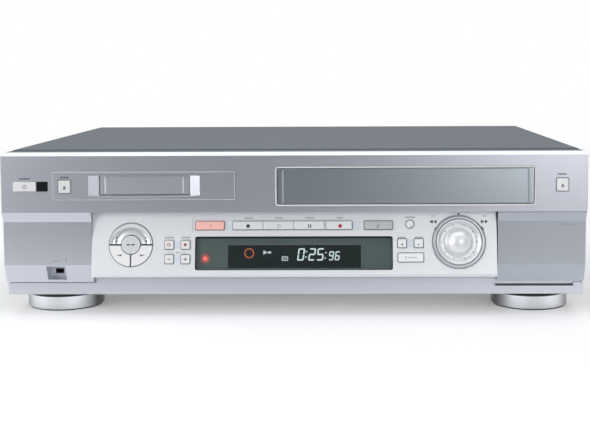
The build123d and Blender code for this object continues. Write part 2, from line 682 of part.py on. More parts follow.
def control_panel():
    """Inclined plate with its rim, side walls and every opening."""
    run = PANEL_T / cos(PANEL_LEAN)
    lean = tan(PANEL_LEAN)
    foot = (PANEL_FOOT_D, PANEL_FOOT_Z)
    rim = (PANEL_FOOT_D + 1.2, PANEL_RETURN_Z)
    line = [(PANEL_TOP_D, PANEL_TOP_Z), foot, rim, (RAIL_FRONT, PANEL_RETURN_Z),
            (RAIL_FRONT, PANEL_RETURN_Z + THIN_WALL), (foot[0] + run + 1.0, PANEL_RETURN_Z + THIN_WALL),
            (foot[0] + run + lean, PANEL_FOOT_Z + 1.0), (PANEL_TOP_D + run, PANEL_TOP_Z)]
    shape = slab(line, -PANEL_X, PANEL_X)
    end = [(PANEL_TOP_D, PANEL_TOP_Z), foot, rim, (RAIL_FRONT, PANEL_RETURN_Z), (RAIL_FRONT, PANEL_TOP_Z)]
    shape += slab(end, -PANEL_X, -PANEL_X + THIN_WALL) + slab(end, PANEL_X - THIN_WALL, PANEL_X)
    front = [e for e in shape.edges().filter_by(Axis.X)
             if abs(e.center().Y - FRONT_Y - foot[0]) < 0.01 and abs(e.center().Z - foot[1]) < 0.01]
    shape = ease(shape, front, PANEL_RIM_R)
    shape -= panel_block(0, on_panel(TRANSPORT_Z), 2 * ROW_FRAME_X, LEVER_H * RISE + 2 * ROW_FRAME_MARGIN,
                         -ROW_FRAME_DEPTH, 1, 1.0)
    for x0, x1, z, h in button_holes():
        shape -= panel_block((x0 + x1) / 2, on_panel(z), x1 - x0 + 2 * FIT_GAP, h + 2 * FIT_GAP,
                             -PANEL_T - 1, 1, 0.4)
    shape -= panel_rod(MODE_X, on_panel(MODE_Z), -PANEL_T - 1, 1, MODE_R + PART_GAP)
    shape -= panel_rod(WHEEL_X, on_panel(WHEEL_Z), -PANEL_T - 1, 1, WHEEL_R + FIT_GAP)
    shape -= panel_rod(DIAL_X, on_panel(DIAL_Z), -PANEL_T - 1, 1, SHUTTLE_SKIRT_R + PART_GAP)
    shape -= panel_block(0, window_mid(), 2 * WINDOW_X, window_height(), -PANEL_T - 1, 1, WINDOW_R)
    return shape


def button_holes():
    """Openings for the buttons; neighbours that nearly touch share one opening."""
    holes = []
    for x, z, w, h in PLATE_BUTTONS.values():
        x0, x1 = x - w / 2, x + w / 2
        if holes and abs(holes[-1][2] - z) < 0.1 and 0 < x0 - holes[-1][1] < 1.0:
            holes[-1] = (holes[-1][0], x1, z, h)
        else:
            holes.append((x0, x1, z, h))
    return holes


def window_mid():
    """Middle of the display window, up the inclined plate."""
    return on_panel((WINDOW_LOW_Z + WINDOW_TOP_Z) / 2)


def window_height():
    """Height of the display window, up the inclined plate."""
    return (WINDOW_TOP_Z - WINDOW_LOW_Z) / cos(PANEL_LEAN)


def base_trim():
    """Chin bar with the raised centre bar and the finger slot below the pull-down door."""
    end = HALF_W - TRIM_END_GAP
    shape = block(-end, end, TRIM_FRONT, RAIL_FRONT, UNDERSIDE_Z, TRIM_TOP_Z)
    shape += block(-PANEL_X + 1, PANEL_X - 1, TRIM_FRONT - TRIM_BAR_PROUD, RAIL_FRONT,
                   TRIM_TOP_Z, TRIM_BAR_TOP_Z)
    shape -= block(PANEL_X - 1, FINGER_SLOT_END, TRIM_FRONT - 2, RAIL_FRONT + 1, FINGER_SLOT_Z, TRIM_TOP_Z + 1)
    foot = [e for e in shape.edges().filter_by(Axis.X)
            if e.center().Z < UNDERSIDE_Z + 0.01 and e.center().Y < FRONT_Y + TRIM_FRONT + 0.01]
    return ease(shape, foot, 0.8)


def display_window():
    """Smoked window, held from behind by a lip."""
    gap = FIT_GAP
    shape = panel_block(0, window_mid(), 2 * (WINDOW_X - gap), window_height() - 2 * gap, -PANEL_T, FIT_GAP,
                        WINDOW_R - gap)
    shape += panel_block(0, window_mid(), 2 * WINDOW_X + 1.6, window_height() + 1.6, -PANEL_T - WINDOW_LIP,
                         -PANEL_T, WINDOW_R)
    return shape


def display_module():
    """Display tube in its holder, with four lamps, standing on the control board."""
    face = -PANEL_T - WINDOW_LIP - PART_GAP
    mid = on_panel((TUBE_LOW_Z + TUBE_TOP_Z) / 2)
    high = (TUBE_TOP_Z - TUBE_LOW_Z) / cos(PANEL_LEAN)
    shape = panel_block(0, window_mid(), 2 * WINDOW_X - 2, window_height() - 2, face - 2.4, face - 1.2)
    shape += panel_block(0, mid, 2 * TUBE_X, high, face - TUBE_DEPTH, face, 0.8)
    for side in (-1, 1):
        shape += panel_block(side * (WINDOW_X - 4), window_mid(), 3, window_height() - 6,
                             -BOARD_SET, face - 2)
        for z in LED_ROWS:
            shape += panel_rod(side * LED_X, on_panel(z), face - 2, face, LED_R)
    return shape


def sensor_window():
    """Dark window of the remote sensor, beside the power button."""
    x0 = POWER_X + POWER_W / 2 + DOOR_GAP
    shape = face_block(x0, SENSOR_END_X, POWER_Z - POWER_H / 2, POWER_Z + POWER_H / 2, -FIT_GAP, WALL, 0.4)
    shape += face_block(x0, SENSOR_END_X + 1.5, POWER_Z - POWER_H / 2 - 1.5, POWER_Z + POWER_H / 2 + 1.5,
                        WALL, WALL + 1.2, 0.4)
    return shape


def cap_on_face(x, z, w, h, d_front, r):
    """Push button in the upper face, with the flange that holds it in and its stem."""
    cap = face_block(x - w / 2, x + w / 2, z - h / 2, z + h / 2, d_front, WALL + FIT_GAP, r)
    cap = ease(cap, cap.faces().sort_by(Axis.Y)[0].edges(), BUTTON_EDGE)
    cap += face_block(x - w / 2, x + w / 2, z - h / 2 - 1, z + h / 2 + 1,
                      WALL + FIT_GAP, WALL + FIT_GAP + 1.2, 0.3)
    cap += block(x - 1.5, x + 1.5, WALL + 1, WALL + 6, z - 1.5, z + 1.5)
    return cap


def plate_button(x, z, w, h):
    """Push button in the inclined plate, with its flange and the stem that works the switch."""
    s = on_panel(z)
    back = -PANEL_T - FIT_GAP
    cap = panel_block(x, s, w, h, back, BUTTON_PROUD, 0.4)
    top = [f for f in cap.faces() if (f.center() - PANEL.origin).dot(PANEL.z_dir) > BUTTON_PROUD - 0.05]
    cap = ease(cap, top[0].edges(), BUTTON_EDGE * 0.9)
    cap += panel_block(x, s, w, h + 1.8, back - 1.0, back)
    cap += panel_block(x, s, 2.4, 2.4, -BOARD_SET + SWITCH_H + BUTTON_TRAVEL + FIT_GAP, back - 0.5)
    return cap


def mode_button():
    """Small round button."""
    s, back = on_panel(MODE_Z), -PANEL_T - FIT_GAP
    cap = panel_rod(MODE_X, s, back, BUTTON_PROUD, MODE_R)
    top = [f for f in cap.faces() if (f.center() - PANEL.origin).dot(PANEL.z_dir) > BUTTON_PROUD - 0.05]
    cap = ease(cap, top[0].edges(), BUTTON_EDGE)
    cap += panel_rod(MODE_X, s, back - 1.0, back, MODE_R + 1.0)
    cap += panel_rod(MODE_X, s, -BOARD_SET + SWITCH_H + BUTTON_TRAVEL + FIT_GAP, back - 0.5, 1.2)
    return cap


def wheel_ring(n0, n1, r0, r1):
    """A ring round the direction wheel's centre."""
    s = on_panel(WHEEL_Z)
    return panel_rod(WHEEL_X, s, n0, n1, r1) - panel_rod(WHEEL_X, s, n0 - 1, n1 + 1, r0)


def wheel_sector(x0, x1, s0, s1, n0, n1):
    """A box cut from the wheel, measured from its centre."""
    s = on_panel(WHEEL_Z)
    return panel_block(WHEEL_X + (x0 + x1) / 2, s + (s0 + s1) / 2, x1 - x0, s1 - s0, n0, n1)


def dub_bezel():
    """Fixed, dished upper half of the direction wheel, held by a flange behind the plate."""
    rim = WHEEL_R + WHEEL_FLANGE
    low, back = -PANEL_T - 1, -PANEL_T
    mid_r = (WHEEL_INNER_R + WHEEL_R) / 2 - 1
    dip = ThreePointArc((WHEEL_INNER_R, 0), (mid_r, -WHEEL_DISH), (WHEEL_R - 0.5, WHEEL_PROUD))
    rest = Polyline((WHEEL_R - 0.5, WHEEL_PROUD), (WHEEL_R, WHEEL_PROUD - 0.3), (WHEEL_R, back),
                    (rim, back), (rim, low), (WHEEL_INNER_R, low), (WHEEL_INNER_R, 0))
    turned = revolve(make_face(Plane.XZ * (dip + rest)), Axis.Z)
    shape = PANEL * Pos(WHEEL_X, on_panel(WHEEL_Z), 0) * turned
    far = rim + 1
    return shape & wheel_sector(-far, far, WHEEL_SLOT / 2, far, low - 1, WHEEL_PROUD + 1)


def dub_side_button(side):
    """One lower quarter of the direction wheel."""
    far = WHEEL_R + 5
    back = -PANEL_T - FIT_GAP
    shape = wheel_ring(back - 1, WHEEL_PROUD, WHEEL_INNER_R, WHEEL_R)
    shape += wheel_ring(back - 1, back, WHEEL_INNER_R, WHEEL_R + WHEEL_FLANGE)
    x0, x1 = sorted((side * WHEEL_SLOT / 2, side * far))
    shape = shape & wheel_sector(x0, x1, -far, -WHEEL_SLOT / 2, -PANEL_T - 2, WHEEL_PROUD + 1)
    mid = side * (WHEEL_R + WHEEL_INNER_R) / 2 * cos(radians(45))
    shape += panel_block(WHEEL_X + mid, on_panel(WHEEL_Z) - abs(mid), 2.4, 2.4,
                         -BOARD_SET + SWITCH_H + BUTTON_TRAVEL + FIT_GAP, back - 0.5)
    return shape


def dub_centre_button():
    """Domed centre button of the direction wheel."""
    s, back = on_panel(WHEEL_Z), -PANEL_T - FIT_GAP
    cap = panel_rod(WHEEL_X, s, back - 1, WHEEL_PROUD + 0.4, WHEEL_CENTRE_R)
    top = [f for f in cap.faces() if (f.center() - PANEL.origin).dot(PANEL.z_dir) > WHEEL_PROUD]
    cap = ease(cap, top[0].edges(), 0.6)
    cap += panel_block(WHEEL_X, s, 2.4, 2.4, -BOARD_SET + SWITCH_H + BUTTON_TRAVEL + FIT_GAP, back - 0.5)
    return cap


def dial_profile(points):
    """A profile of radius and height, turned about the dial's axis."""
    outline = make_face(Plane.XZ * Polyline(*points, close=True))
    return PANEL * Pos(DIAL_X, on_panel(DIAL_Z), 0) * revolve(outline, Axis.Z)


def jog_dial():
    """Finger dial: dished ring with dimples, domed crown, and its shaft in the encoder."""
    crown = ThreePointArc((0, DOME_H), (DOME_R * 0.55, DOME_H - (DOME_H - JOG_DISH_H) * 0.22),
                          (DOME_R, JOG_DISH_H + 0.6))
    dish = ThreePointArc((DOME_R, JOG_DISH_H + 0.6), ((DOME_R + JOG_R) / 2, JOG_DISH_H),
                         (JOG_R - 1, JOG_RIM_H))
    rest = Polyline((JOG_R - 1, JOG_RIM_H), (JOG_R - 0.3, JOG_RIM_H), (JOG_R, JOG_RIM_H - 0.4), (JOG_R, 0.2),
                    (JOG_R - 2, 0.2), (JOG_R - 2, -1.0), (ENCODER_SHAFT_R, -1.0),
                    (ENCODER_SHAFT_R, -BOARD_SET + 3), (0, -BOARD_SET + 3), (0, DOME_H))
    outline = make_face(Plane.XZ * (crown + dish + rest))
    shape = revolve(outline, Axis.Z)
    for i in range(DIMPLES):
        turn = Rot(0, 0, 8.5 - i * 360 / DIMPLES)
        shape -= turn * Pos(0, DIMPLE_CIRCLE_R, JOG_DISH_H + 0.25) * Cylinder(DIMPLE_R, 0.6)
    return PANEL * Pos(DIAL_X, on_panel(DIAL_Z), 0) * shape


def shuttle_ring():
    """Sprung ring round the jog dial, with a skirt that turns in the plate's hole."""
    inner = JOG_R + PART_GAP
    low = -PANEL_T - 0.4
    return dial_profile([(inner, low - 1), (SHUTTLE_SKIRT_R, low - 1), (SHUTTLE_SKIRT_R, FIT_GAP),
                         (SHUTTLE_R, FIT_GAP), (SHUTTLE_R, SHUTTLE_H - 1.2), (SHUTTLE_R - 0.8, SHUTTLE_H),
                         (inner + 0.4, SHUTTLE_H), (inner, SHUTTLE_H - 0.4)])


def front_board():
    """Control board behind the plate: a switch behind each button, and the dial's encoder."""
    shape = panel_block(0, 0, 2 * BOARD_X, 2 * BOARD_HALF_S, -BOARD_SET - BOARD_T, -BOARD_SET)
    spots = [(x, z) for x, z, w, h in PLATE_BUTTONS.values()] + [(MODE_X, MODE_Z), (WHEEL_X, WHEEL_Z)]
    arm = (WHEEL_R + WHEEL_INNER_R) / 2 * cos(radians(45))
    places = [(x, on_panel(z)) for x, z in spots]
    places += [(WHEEL_X + i * arm, on_panel(WHEEL_Z) - arm) for i in (-1, 1)]
    for x, s in places:
        shape += panel_block(x, s, SWITCH, SWITCH, -BOARD_SET, -BOARD_SET + SWITCH_H)
    s = on_panel(DIAL_Z)
    shape += panel_rod(DIAL_X, s, -BOARD_SET, -4.5, 7.0)
    shape -= panel_rod(DIAL_X, s, -BOARD_SET + 2, 0, ENCODER_SHAFT_R + RUNNING_GAP)
    return shape


# Doors

def cassette_door(x, w, low_z, h, d0, t, hinge_z, behind, pin_r, hub_r, arm_t, pin_out):
    """Flap with a raised face, two arms and the pins that it swings on."""
    shape = block(x - w / 2, x + w / 2, d0 + DOOR_RAISE, d0 + t, low_z, low_z + h)
    raised = face_block(x - w / 2 + DOOR_MARGIN, x + w / 2 - DOOR_MARGIN, low_z + 0.4, low_z + h - 0.4,
                        d0, d0 + DOOR_RAISE, 1.0)
    shape += chamfer(raised.faces().sort_by(Axis.Y)[0].edges(), DOOR_RAISE * 0.7)
    for side in (-1, 1):
        rib_x = x + side * (w / 2 - DOOR_RIB_INSET)
        shape += rod_z(rib_x, d0 + RIB_R * 0.4, low_z + RIB_MARGIN, low_z + h - RIB_MARGIN, RIB_R)
    for side in (-1, 1):
        x0, x1 = sorted((x + side * w / 2, x + side * (w / 2 - arm_t)))
        arm = slab([(d0 + t - 0.1, low_z + h * 0.6), (behind + hub_r * 0.6, hinge_z - hub_r * 0.6),
                    (behind + hub_r * 0.9, hinge_z), (behind - hub_r * 0.9, hinge_z), (d0 + t - 0.1, low_z + h)],
                   x0, x1)
        arm += rod_x(x0, x1, behind, hinge_z, hub_r)
        shape += arm
        p0, p1 = sorted((x + side * (w / 2 - 0.5), x + side * (w / 2 + pin_out)))
        shape += rod_x(p0, p1, behind, hinge_z, pin_r)
    return shape


def jack_door():
    """Pull-down door over the front sockets: bent skin, end skirt and hinge arms."""
    x0, x1 = BLOCK_INNER_X + DOOR_GAP, HALF_W - DOOR_GAP
    top = SPLIT_Z - JACK_DOOR_TOP_GAP
    t = JACK_DOOR_T
    slope = (BLOCK_FOOT_D - BLOCK_LOW_D) / (BLOCK_LOW_Z - BLOCK_FOOT_Z)
    foot_d = BLOCK_LOW_D + (BLOCK_LOW_Z - JACK_DOOR_FOOT_Z) * slope
    top_d = (SPLIT_Z - top) * BLOCK_TOP_D / (SPLIT_Z - BLOCK_TOP_Z)
    thin_d = BLOCK_LOW_D + (BLOCK_LOW_Z - JACK_THIN_Z) * slope
    line = [(top_d, top), (BLOCK_TOP_D, BLOCK_TOP_Z), (BLOCK_LOW_D, BLOCK_LOW_Z), (foot_d, JACK_DOOR_FOOT_Z)]
    inner = [(foot_d + JACK_FOOT_T, JACK_DOOR_FOOT_Z), (thin_d + JACK_FOOT_T, JACK_THIN_Z),
             (BLOCK_LOW_D + t, BLOCK_LOW_Z), (BLOCK_TOP_D + t, BLOCK_TOP_Z), (top_d + t, top)]
    shape = slab(line + inner, x0, x1)
    skirt = line + [(JACK_HINGE_D + 0.4, JACK_DOOR_FOOT_Z), (JACK_SKIRT_D, JACK_DOOR_FOOT_Z + 0.8),
                    (JACK_SKIRT_D, top)]
    shape += slab(skirt, x1 - THIN_WALL, x1)
    hub = JACK_HUB_R
    for a0, a1, p0, p1 in ((x0, BAY_X0 - THIN_WALL - PART_GAP, x0, BAY_X0 - 0.1),
                           (BAY_X1 + THIN_WALL + PART_GAP, x1, BAY_X1 + 0.1, x1)):
        shape += slab([(BLOCK_LOW_D + 1, BLOCK_LOW_Z), (foot_d, JACK_DOOR_FOOT_Z),
                       (JACK_HINGE_D, JACK_HINGE_Z - hub), (JACK_HINGE_D + hub * 0.8, JACK_HINGE_Z),
                       (JACK_HINGE_D + hub * 0.7, JACK_HINGE_Z + 2), (BLOCK_LOW_D + t, BLOCK_LOW_Z + 6)], a0, a1)
        shape += rod_x(a0, a1, JACK_HINGE_D, JACK_HINGE_Z, hub)
        shape += rod_x(p0, p1, JACK_HINGE_D, JACK_HINGE_Z, JACK_PIN_R)
    return shape


# Sockets

def round_socket(x, z, d_back, d_front):
    """Barrel of a plug socket with its bore, the open end at d_front."""
    barrel = rod_y(x, z, d_back, d_front, PLUG_R)
    inner = d_back + (d_front - d_back) * 0.15
    return barrel - rod_y(x, z, inner, d_front + (1 if d_front > d_back else -1), PLUG_BORE_R)


def collar(x, z, barrel_r):
    """Collar round a barrel, flat against the outside of the rear panel."""
    ring = rod_y(x, z, REAR_FACE, REAR_FACE + COLLAR_T, barrel_r + COLLAR_W)
    return ring - rod_y(x, z, REAR_FACE - 1, REAR_FACE + COLLAR_T + 1, barrel_r - 0.1)


def din_socket(x, z, d_back, d_front):
    """Round multi-pin socket with its ring groove and key."""
    way = 1 if d_front > d_back else -1
    shape = rod_y(x, z, d_back, d_front, MINI_DIN_R)
    groove = rod_y(x, z, d_front - way * 3, d_front + way, MINI_DIN_R - 0.9)
    groove -= rod_y(x, z, d_front - way * 4, d_front + way * 2, MINI_DIN_R - 2.4)
    return shape - groove


def front_jack_block():
    """Socket block behind the pull-down door."""
    back = BAY_BACK + THIN_WALL
    tip = BAY_BACK - PLUG_LENGTH
    shape = block(FRONT_SOCKET_X[0] - 8, FRONT_SOCKET_X[-1] + 8, back, back + FRONT_BLOCK_T, FRONT_SOCKET_Z - 9,
                  FRONT_DIN_Z + 9)
    for x in FRONT_SOCKET_X:
        shape += round_socket(x, FRONT_SOCKET_Z, back, tip)
    return shape + din_socket(FRONT_DIN_X, FRONT_DIN_Z, back, BAY_BACK - 2)


def link_socket():
    """Small digital link socket at the back of its pocket."""
    mid_x = (LINK_X0 + LINK_X1) / 2
    mid_z = (LINK_Z0 + LINK_Z1) / 2
    back = LINK_BACK + THIN_WALL
    body_w, body_l, body_h = LINK_BODY
    shape = block(mid_x - body_w / 2, mid_x + body_w / 2, back, back + body_l,
                  mid_z - body_h / 2, mid_z + body_h / 2)
    shape += block(mid_x - LINK_OPEN_W / 2, mid_x + LINK_OPEN_W / 2, LINK_BACK, back + 1, mid_z - LINK_OPEN_H / 2,
                   mid_z + LINK_OPEN_H / 2)
    half_w, half_h = LINK_OPEN_W / 2 - LINK_WALL, LINK_OPEN_H / 2 - LINK_WALL
    shape -= block(mid_x - half_w, mid_x + half_w, LINK_BACK - 1, back + LINK_MOUTH_DEPTH, mid_z - half_h,
                   mid_z + half_h)
    return shape


def rear_jacks():
    """Rows of plug sockets and two round multi-pin sockets."""
    tip = BODY_DEPTH + SOCKET_REACH
    inside = REAR_FACE - SHEET
    shape = block(REAR_COLUMNS[0] - 9, REAR_DIN_X + 10, inside - 12, inside, REAR_ROWS[0] - 10, REAR_ROWS[1] + 10)
    for z in REAR_ROWS:
        for x in REAR_COLUMNS:
            shape += round_socket(x, z, inside, tip) + collar(x, z, PLUG_R)
        shape += din_socket(REAR_DIN_X, z, inside, REAR_FACE + 3)
    return shape


def antenna_connectors():
    """Tuner can with its two aerial sockets."""
    tip = BODY_DEPTH + SOCKET_REACH
    inside = REAR_FACE - SHEET
    shape = block(AERIAL_X - 13, AERIAL_X + 13, inside - 16, inside, REAR_ROWS[0] - 12, REAR_ROWS[1] + 12)
    for z in REAR_ROWS:
        shape += rod_y(AERIAL_X, z, inside, tip, AERIAL_R) + collar(AERIAL_X, z, AERIAL_R)
        shape -= rod_y(AERIAL_X, z, inside + 3, tip + 1, PLUG_BORE_R)
    return shape


def mains_inlet():
    """Two-pin mains inlet."""
    mouth = REAR_FACE + 2
    plane = Plane(origin=(INLET_X, FRONT_Y + mouth, INLET_Z), x_dir=(1, 0, 0), z_dir=(0, -1, 0))
    shape = extrude(plane * RectangleRounded(INLET_W + 7, INLET_H + 7, 2.0), 2.0, dir=(0, -1, 0))
    shape += extrude(plane * Rectangle(INLET_W + 3.6, INLET_H + 3.6), INLET_DEPTH + 4, dir=(0, -1, 0))
    mouth_face = plane * RectangleRounded(INLET_W, INLET_H, INLET_H / 2 - 0.01)
    shape -= extrude(mouth_face, INLET_DEPTH, dir=(0, -1, 0))
    for side in (-1, 1):
        shape += rod_y(INLET_X + side * INLET_PIN_PITCH / 2, INLET_Z, mouth - INLET_DEPTH - 1, mouth - 6,
                       INLET_PIN_R)
    return shape


# Sheet metal

def top_cover():
    """Wrap-over steel cover with a stepped front strip, side slots and a rear lip."""
    plane = Plane(origin=(0, FRONT_Y + CHAMFER, 0), x_dir=(1, 0, 0), z_dir=(0, -1, 0))
    tall = HEIGHT - FLOOR_Z
    sketch = Pos(0, FLOOR_Z + tall / 2) * Rectangle(2 * COVER_X, tall)
    sketch = fillet(sketch.vertices().group_by(Axis.Y)[-1], COVER_BEND_R)
    inner = Pos(0, FLOOR_Z + (tall - SHEET) / 2 - 1) * Rectangle(2 * (COVER_X - SHEET), tall - SHEET + 2)
    shape = extrude(plane * (sketch - inner), BODY_DEPTH - CHAMFER, dir=(0, 1, 0))
    shape -= block(-HALF_W, HALF_W, 0, STRIP_DEPTH, HEIGHT - STRIP_DROP, HEIGHT + 1)
    shape += block(-COVER_X + COVER_BEND_R, COVER_X - COVER_BEND_R, CHAMFER, STRIP_DEPTH, ROOF_Z, SKY_Z)
    shape -= block(-HALF_W, HALF_W, 0, RAIL_FRONT, 0, ROOF_Z)
    shape += block(-COVER_X + COVER_BEND_R, COVER_X - COVER_BEND_R, REAR_FACE, BODY_DEPTH,
                   SKY_Z - REAR_LIP, SKY_Z)
    for i in range(SIDE_SLOTS):
        d = BODY_DEPTH * 0.6 + i * SIDE_SLOT_PITCH
        shape -= block(-HALF_W, HALF_W, d, d + SIDE_SLOT_W, SIDE_SLOTS_Z, SIDE_SLOTS_Z + SIDE_SLOT_H)
    for side in (-1, 1):
        for d in SIDE_SCREW_D:
            x0, x1 = sorted((side * (COVER_X - SHEET - 1), side * HALF_W))
            shape -= rod_x(x0, x1, d, SIDE_SCREW_Z, SCREW_R + FIT_GAP)
    for x in REAR_SCREW_X:
        shape -= rod_y(x, SKY_Z - REAR_LIP / 2, REAR_FACE - 1, BODY_DEPTH + 1, SCREW_R + FIT_GAP)
    return shape


def bottom_chassis():
    """Steel tray with upturned sides, vent slots, ribs and board standoffs."""
    front = RAIL_FRONT + RAIL_T
    back = REAR_FACE - SHEET
    shape = block(-CHASSIS_X, CHASSIS_X, front, back, UNDERSIDE_Z, FLOOR_Z)
    for side in (-1, 1):
        x0, x1 = sorted((side * CHASSIS_X, side * (CHASSIS_X - SHEET)))
        shape += block(x0, x1, front, back, UNDERSIDE_Z, FLOOR_Z + TRAY_SIDE_H)
        for d in SIDE_SCREW_D:
            shape -= rod_x(x0 - 1, x1 + 1, d, SIDE_SCREW_Z, SCREW_R + RUNNING_GAP)
    shape += block(-CHASSIS_X, CHASSIS_X, front, front + SHEET, UNDERSIDE_Z, TRAY_LIP_Z)
    slot_w, slot_l, pitch = TRAY_SLOT
    for x, d in (TRAY_FRONT_SLOTS, TRAY_REAR_SLOTS):
        for i in range(TRAY_SLOTS):
            left = x + i * pitch
            shape -= block(left, left + slot_w, d, d + slot_l, UNDERSIDE_Z - 1, FLOOR_Z + 1)
    for x, d in standoffs():
        shape += rod_z(x, d, FLOOR_Z - 0.5, FLOOR_Z + STANDOFF_H, STANDOFF_R)
    return shape


def standoffs():
    """Places of the board standoffs."""
    inset = STANDOFF_INSET
    main = [(MAIN_X0 + inset, MAIN_FRONT + inset), (MAIN_X1 - inset, MAIN_FRONT + inset),
            (MAIN_X0 + inset, MAIN_MID - inset), (MAIN_X1 - inset, MAIN_BACK - inset)]
    supply = [(SUPPLY_X0 + inset, SUPPLY_FRONT + inset), (SUPPLY_X1 - inset, SUPPLY_FRONT + inset),
              (SUPPLY_X0 + inset, MAIN_BACK - inset), (SUPPLY_X1 - inset, MAIN_BACK - inset)]
    return main + supply


def rear_panel():
    """Steel back panel with its socket openings and vents."""
    front, back = REAR_FACE - SHEET, REAR_FACE
    shape = block(-CHASSIS_X, CHASSIS_X, front, back, UNDERSIDE_Z, SKY_Z)
    for z in REAR_ROWS:
        for x in REAR_COLUMNS:
            shape -= rod_y(x, z, front - 1, back + 1, PLUG_R + DOOR_GAP)
        shape -= rod_y(REAR_DIN_X, z, front - 1, back + 1, MINI_DIN_R + DOOR_GAP)
        shape -= rod_y(AERIAL_X, z, front - 1, back + 1, AERIAL_R + DOOR_GAP)
    shape -= block(INLET_X - INLET_W / 2 - 2, INLET_X + INLET_W / 2 + 2, front - 1, back + 1,
                   INLET_Z - INLET_H / 2 - 2, INLET_Z + INLET_H / 2 + 2)
    for x in REAR_SCREW_X:
        shape -= rod_y(x, SKY_Z - REAR_LIP / 2, front - 1, back + 1, SCREW_R + RUNNING_GAP)
    slot_w, slot_h, pitch = REAR_SLOT
    for i in range(REAR_SLOTS):
        x = REAR_SLOTS_X + i * pitch
        shape -= block(x, x + slot_w, front - 1, back + 1, REAR_SLOTS_Z, REAR_SLOTS_Z + slot_h)
    return shape


def screw(place, turn):
    """Round-head screw, its head outwards along +Z before it is turned and placed."""
    body = Pos(0, 0, SCREW_HEAD_H / 2) * Cylinder(SCREW_HEAD_R, SCREW_HEAD_H)
    body = ease(body, body.edges().group_by(Axis.Z)[-1], SCREW_HEAD_H * 0.5)
    body += Pos(0, 0, -SCREW_LENGTH / 2) * Cylinder(SCREW_R, SCREW_LENGTH)
    return Pos(*place) * turn * body


def screws():
    """Cover screws at the sides and along the back."""
    group = []
    for side in (-1, 1):
        for d in SIDE_SCREW_D:
            group.append(screw((side * COVER_X, FRONT_Y + d, SIDE_SCREW_Z), Rot(0, side * 90, 0)))
    for x in REAR_SCREW_X:
        group.append(screw((x, FRONT_Y + BODY_DEPTH, SKY_Z - REAR_LIP / 2), Rot(-90, 0, 0)))
    return Compound(children=group)


def foot_places():
    """Centres of the four feet."""
    return [(x, d) for x in (-FOOT_X, FOOT_X) for d in (FOOT_FRONT_D, FOOT_REAR_D)]


def feet():
    """Four turned feet, each with a narrow neck under the chassis."""
    ring_top = UNDERSIDE_Z - FOOT_NECK_H
    low = PAD_H - PAD_SEAT
    profile = Polyline((0, PAD_H), (PAD_R, PAD_H), (PAD_R, low), (FOOT_R - 0.8, low), (FOOT_R, low + 0.8),
                       (FOOT_R, ring_top - 0.6), (FOOT_R - 0.6, ring_top), (FOOT_NECK_R, ring_top),
                       (FOOT_NECK_R, UNDERSIDE_Z), (0, UNDERSIDE_Z), close=True)
    foot = revolve(make_face(Plane.XZ * profile), Axis.Z)
    return Compound(children=[Pos(x, FRONT_Y + d, 0) * foot for x, d in foot_places()])


def foot_pads():
    """Rubber pad under each foot."""
    return Compound(children=[rod_z(x, d, 0, PAD_H, PAD_R - FIT_GAP) for x, d in foot_places()])


# Electronics

def main_board():
    """Main board with chips, a heat sink and connectors; it lets the small deck's legs through."""
    low = FLOOR_Z + STANDOFF_H
    top = low + BOARD_T
    shape = block(MAIN_X0, MAIN_X1, MAIN_FRONT, MAIN_MID, low, top)
    shape += block(SUPPLY_X1 + 4, MAIN_X1, MAIN_MID, MAIN_BACK, low, top)
    for x, d in mini_legs():
        shape -= rod_z(x, d, low - 1, top + 1, LEG_R + DOOR_GAP)
    for x, d, w, l, h in LEFT_CHIPS:
        shape += lying_block(MAIN_X0 + x, MAIN_FRONT + d, w, l, top, h)
    for x, d, w, l, h in RIGHT_CHIPS:
        shape += lying_block(MAIN_X1 - x, MAIN_BACK - d, w, l, top, h)
    for x, d, r, h in LEFT_CAPACITORS:
        shape += rod_z(MAIN_X0 + x, MAIN_FRONT + d, top, top + h, r)
    for x, d, r, h in RIGHT_CAPACITORS:
        shape += rod_z(MAIN_X1 - x, MAIN_BACK - d, top, top + h, r)
    return shape


def power_supply():
    """Supply board with transformer, capacitor and a finned heat sink."""
    low = FLOOR_Z + STANDOFF_H
    top = low + BOARD_T
    shape = block(SUPPLY_X0, SUPPLY_X1, SUPPLY_FRONT, MAIN_BACK, low, top)
    x, back, w, l, h = CORE
    shape += lying_block(SUPPLY_X0 + x + w / 2, MAIN_BACK - back, w, l, top, h)
    coil_w, coil_l, coil_low, coil_high = COIL
    shape += lying_block(SUPPLY_X0 + x + w / 2, MAIN_BACK - back, coil_w, coil_l, top + coil_low,
                         coil_high - coil_low)
    for x, back, r, h in (RESERVOIR, SMOOTHER):
        shape += rod_z(SUPPLY_X0 + x, MAIN_BACK - back, top, top + h, r)
    sink = SUPPLY_X0 + SINK_X
    far = MAIN_BACK - SINK_BACK
    near = far - FINS * FIN_PITCH
    shape += block(sink, sink + SINK_T, near, far, top, top + SINK_H)
    for i in range(FINS):
        d = near + FIN_T + i * FIN_PITCH
        shape += block(sink + SINK_T / 2, sink + FIN_REACH, d, d + FIN_T, top + FIN_LOW, top + SINK_H)
    x, back, w, l, h = FILTER
    return shape + lying_block(SUPPLY_X0 + x, MAIN_BACK - back, w, l, top, h)


# Cassette mechanisms

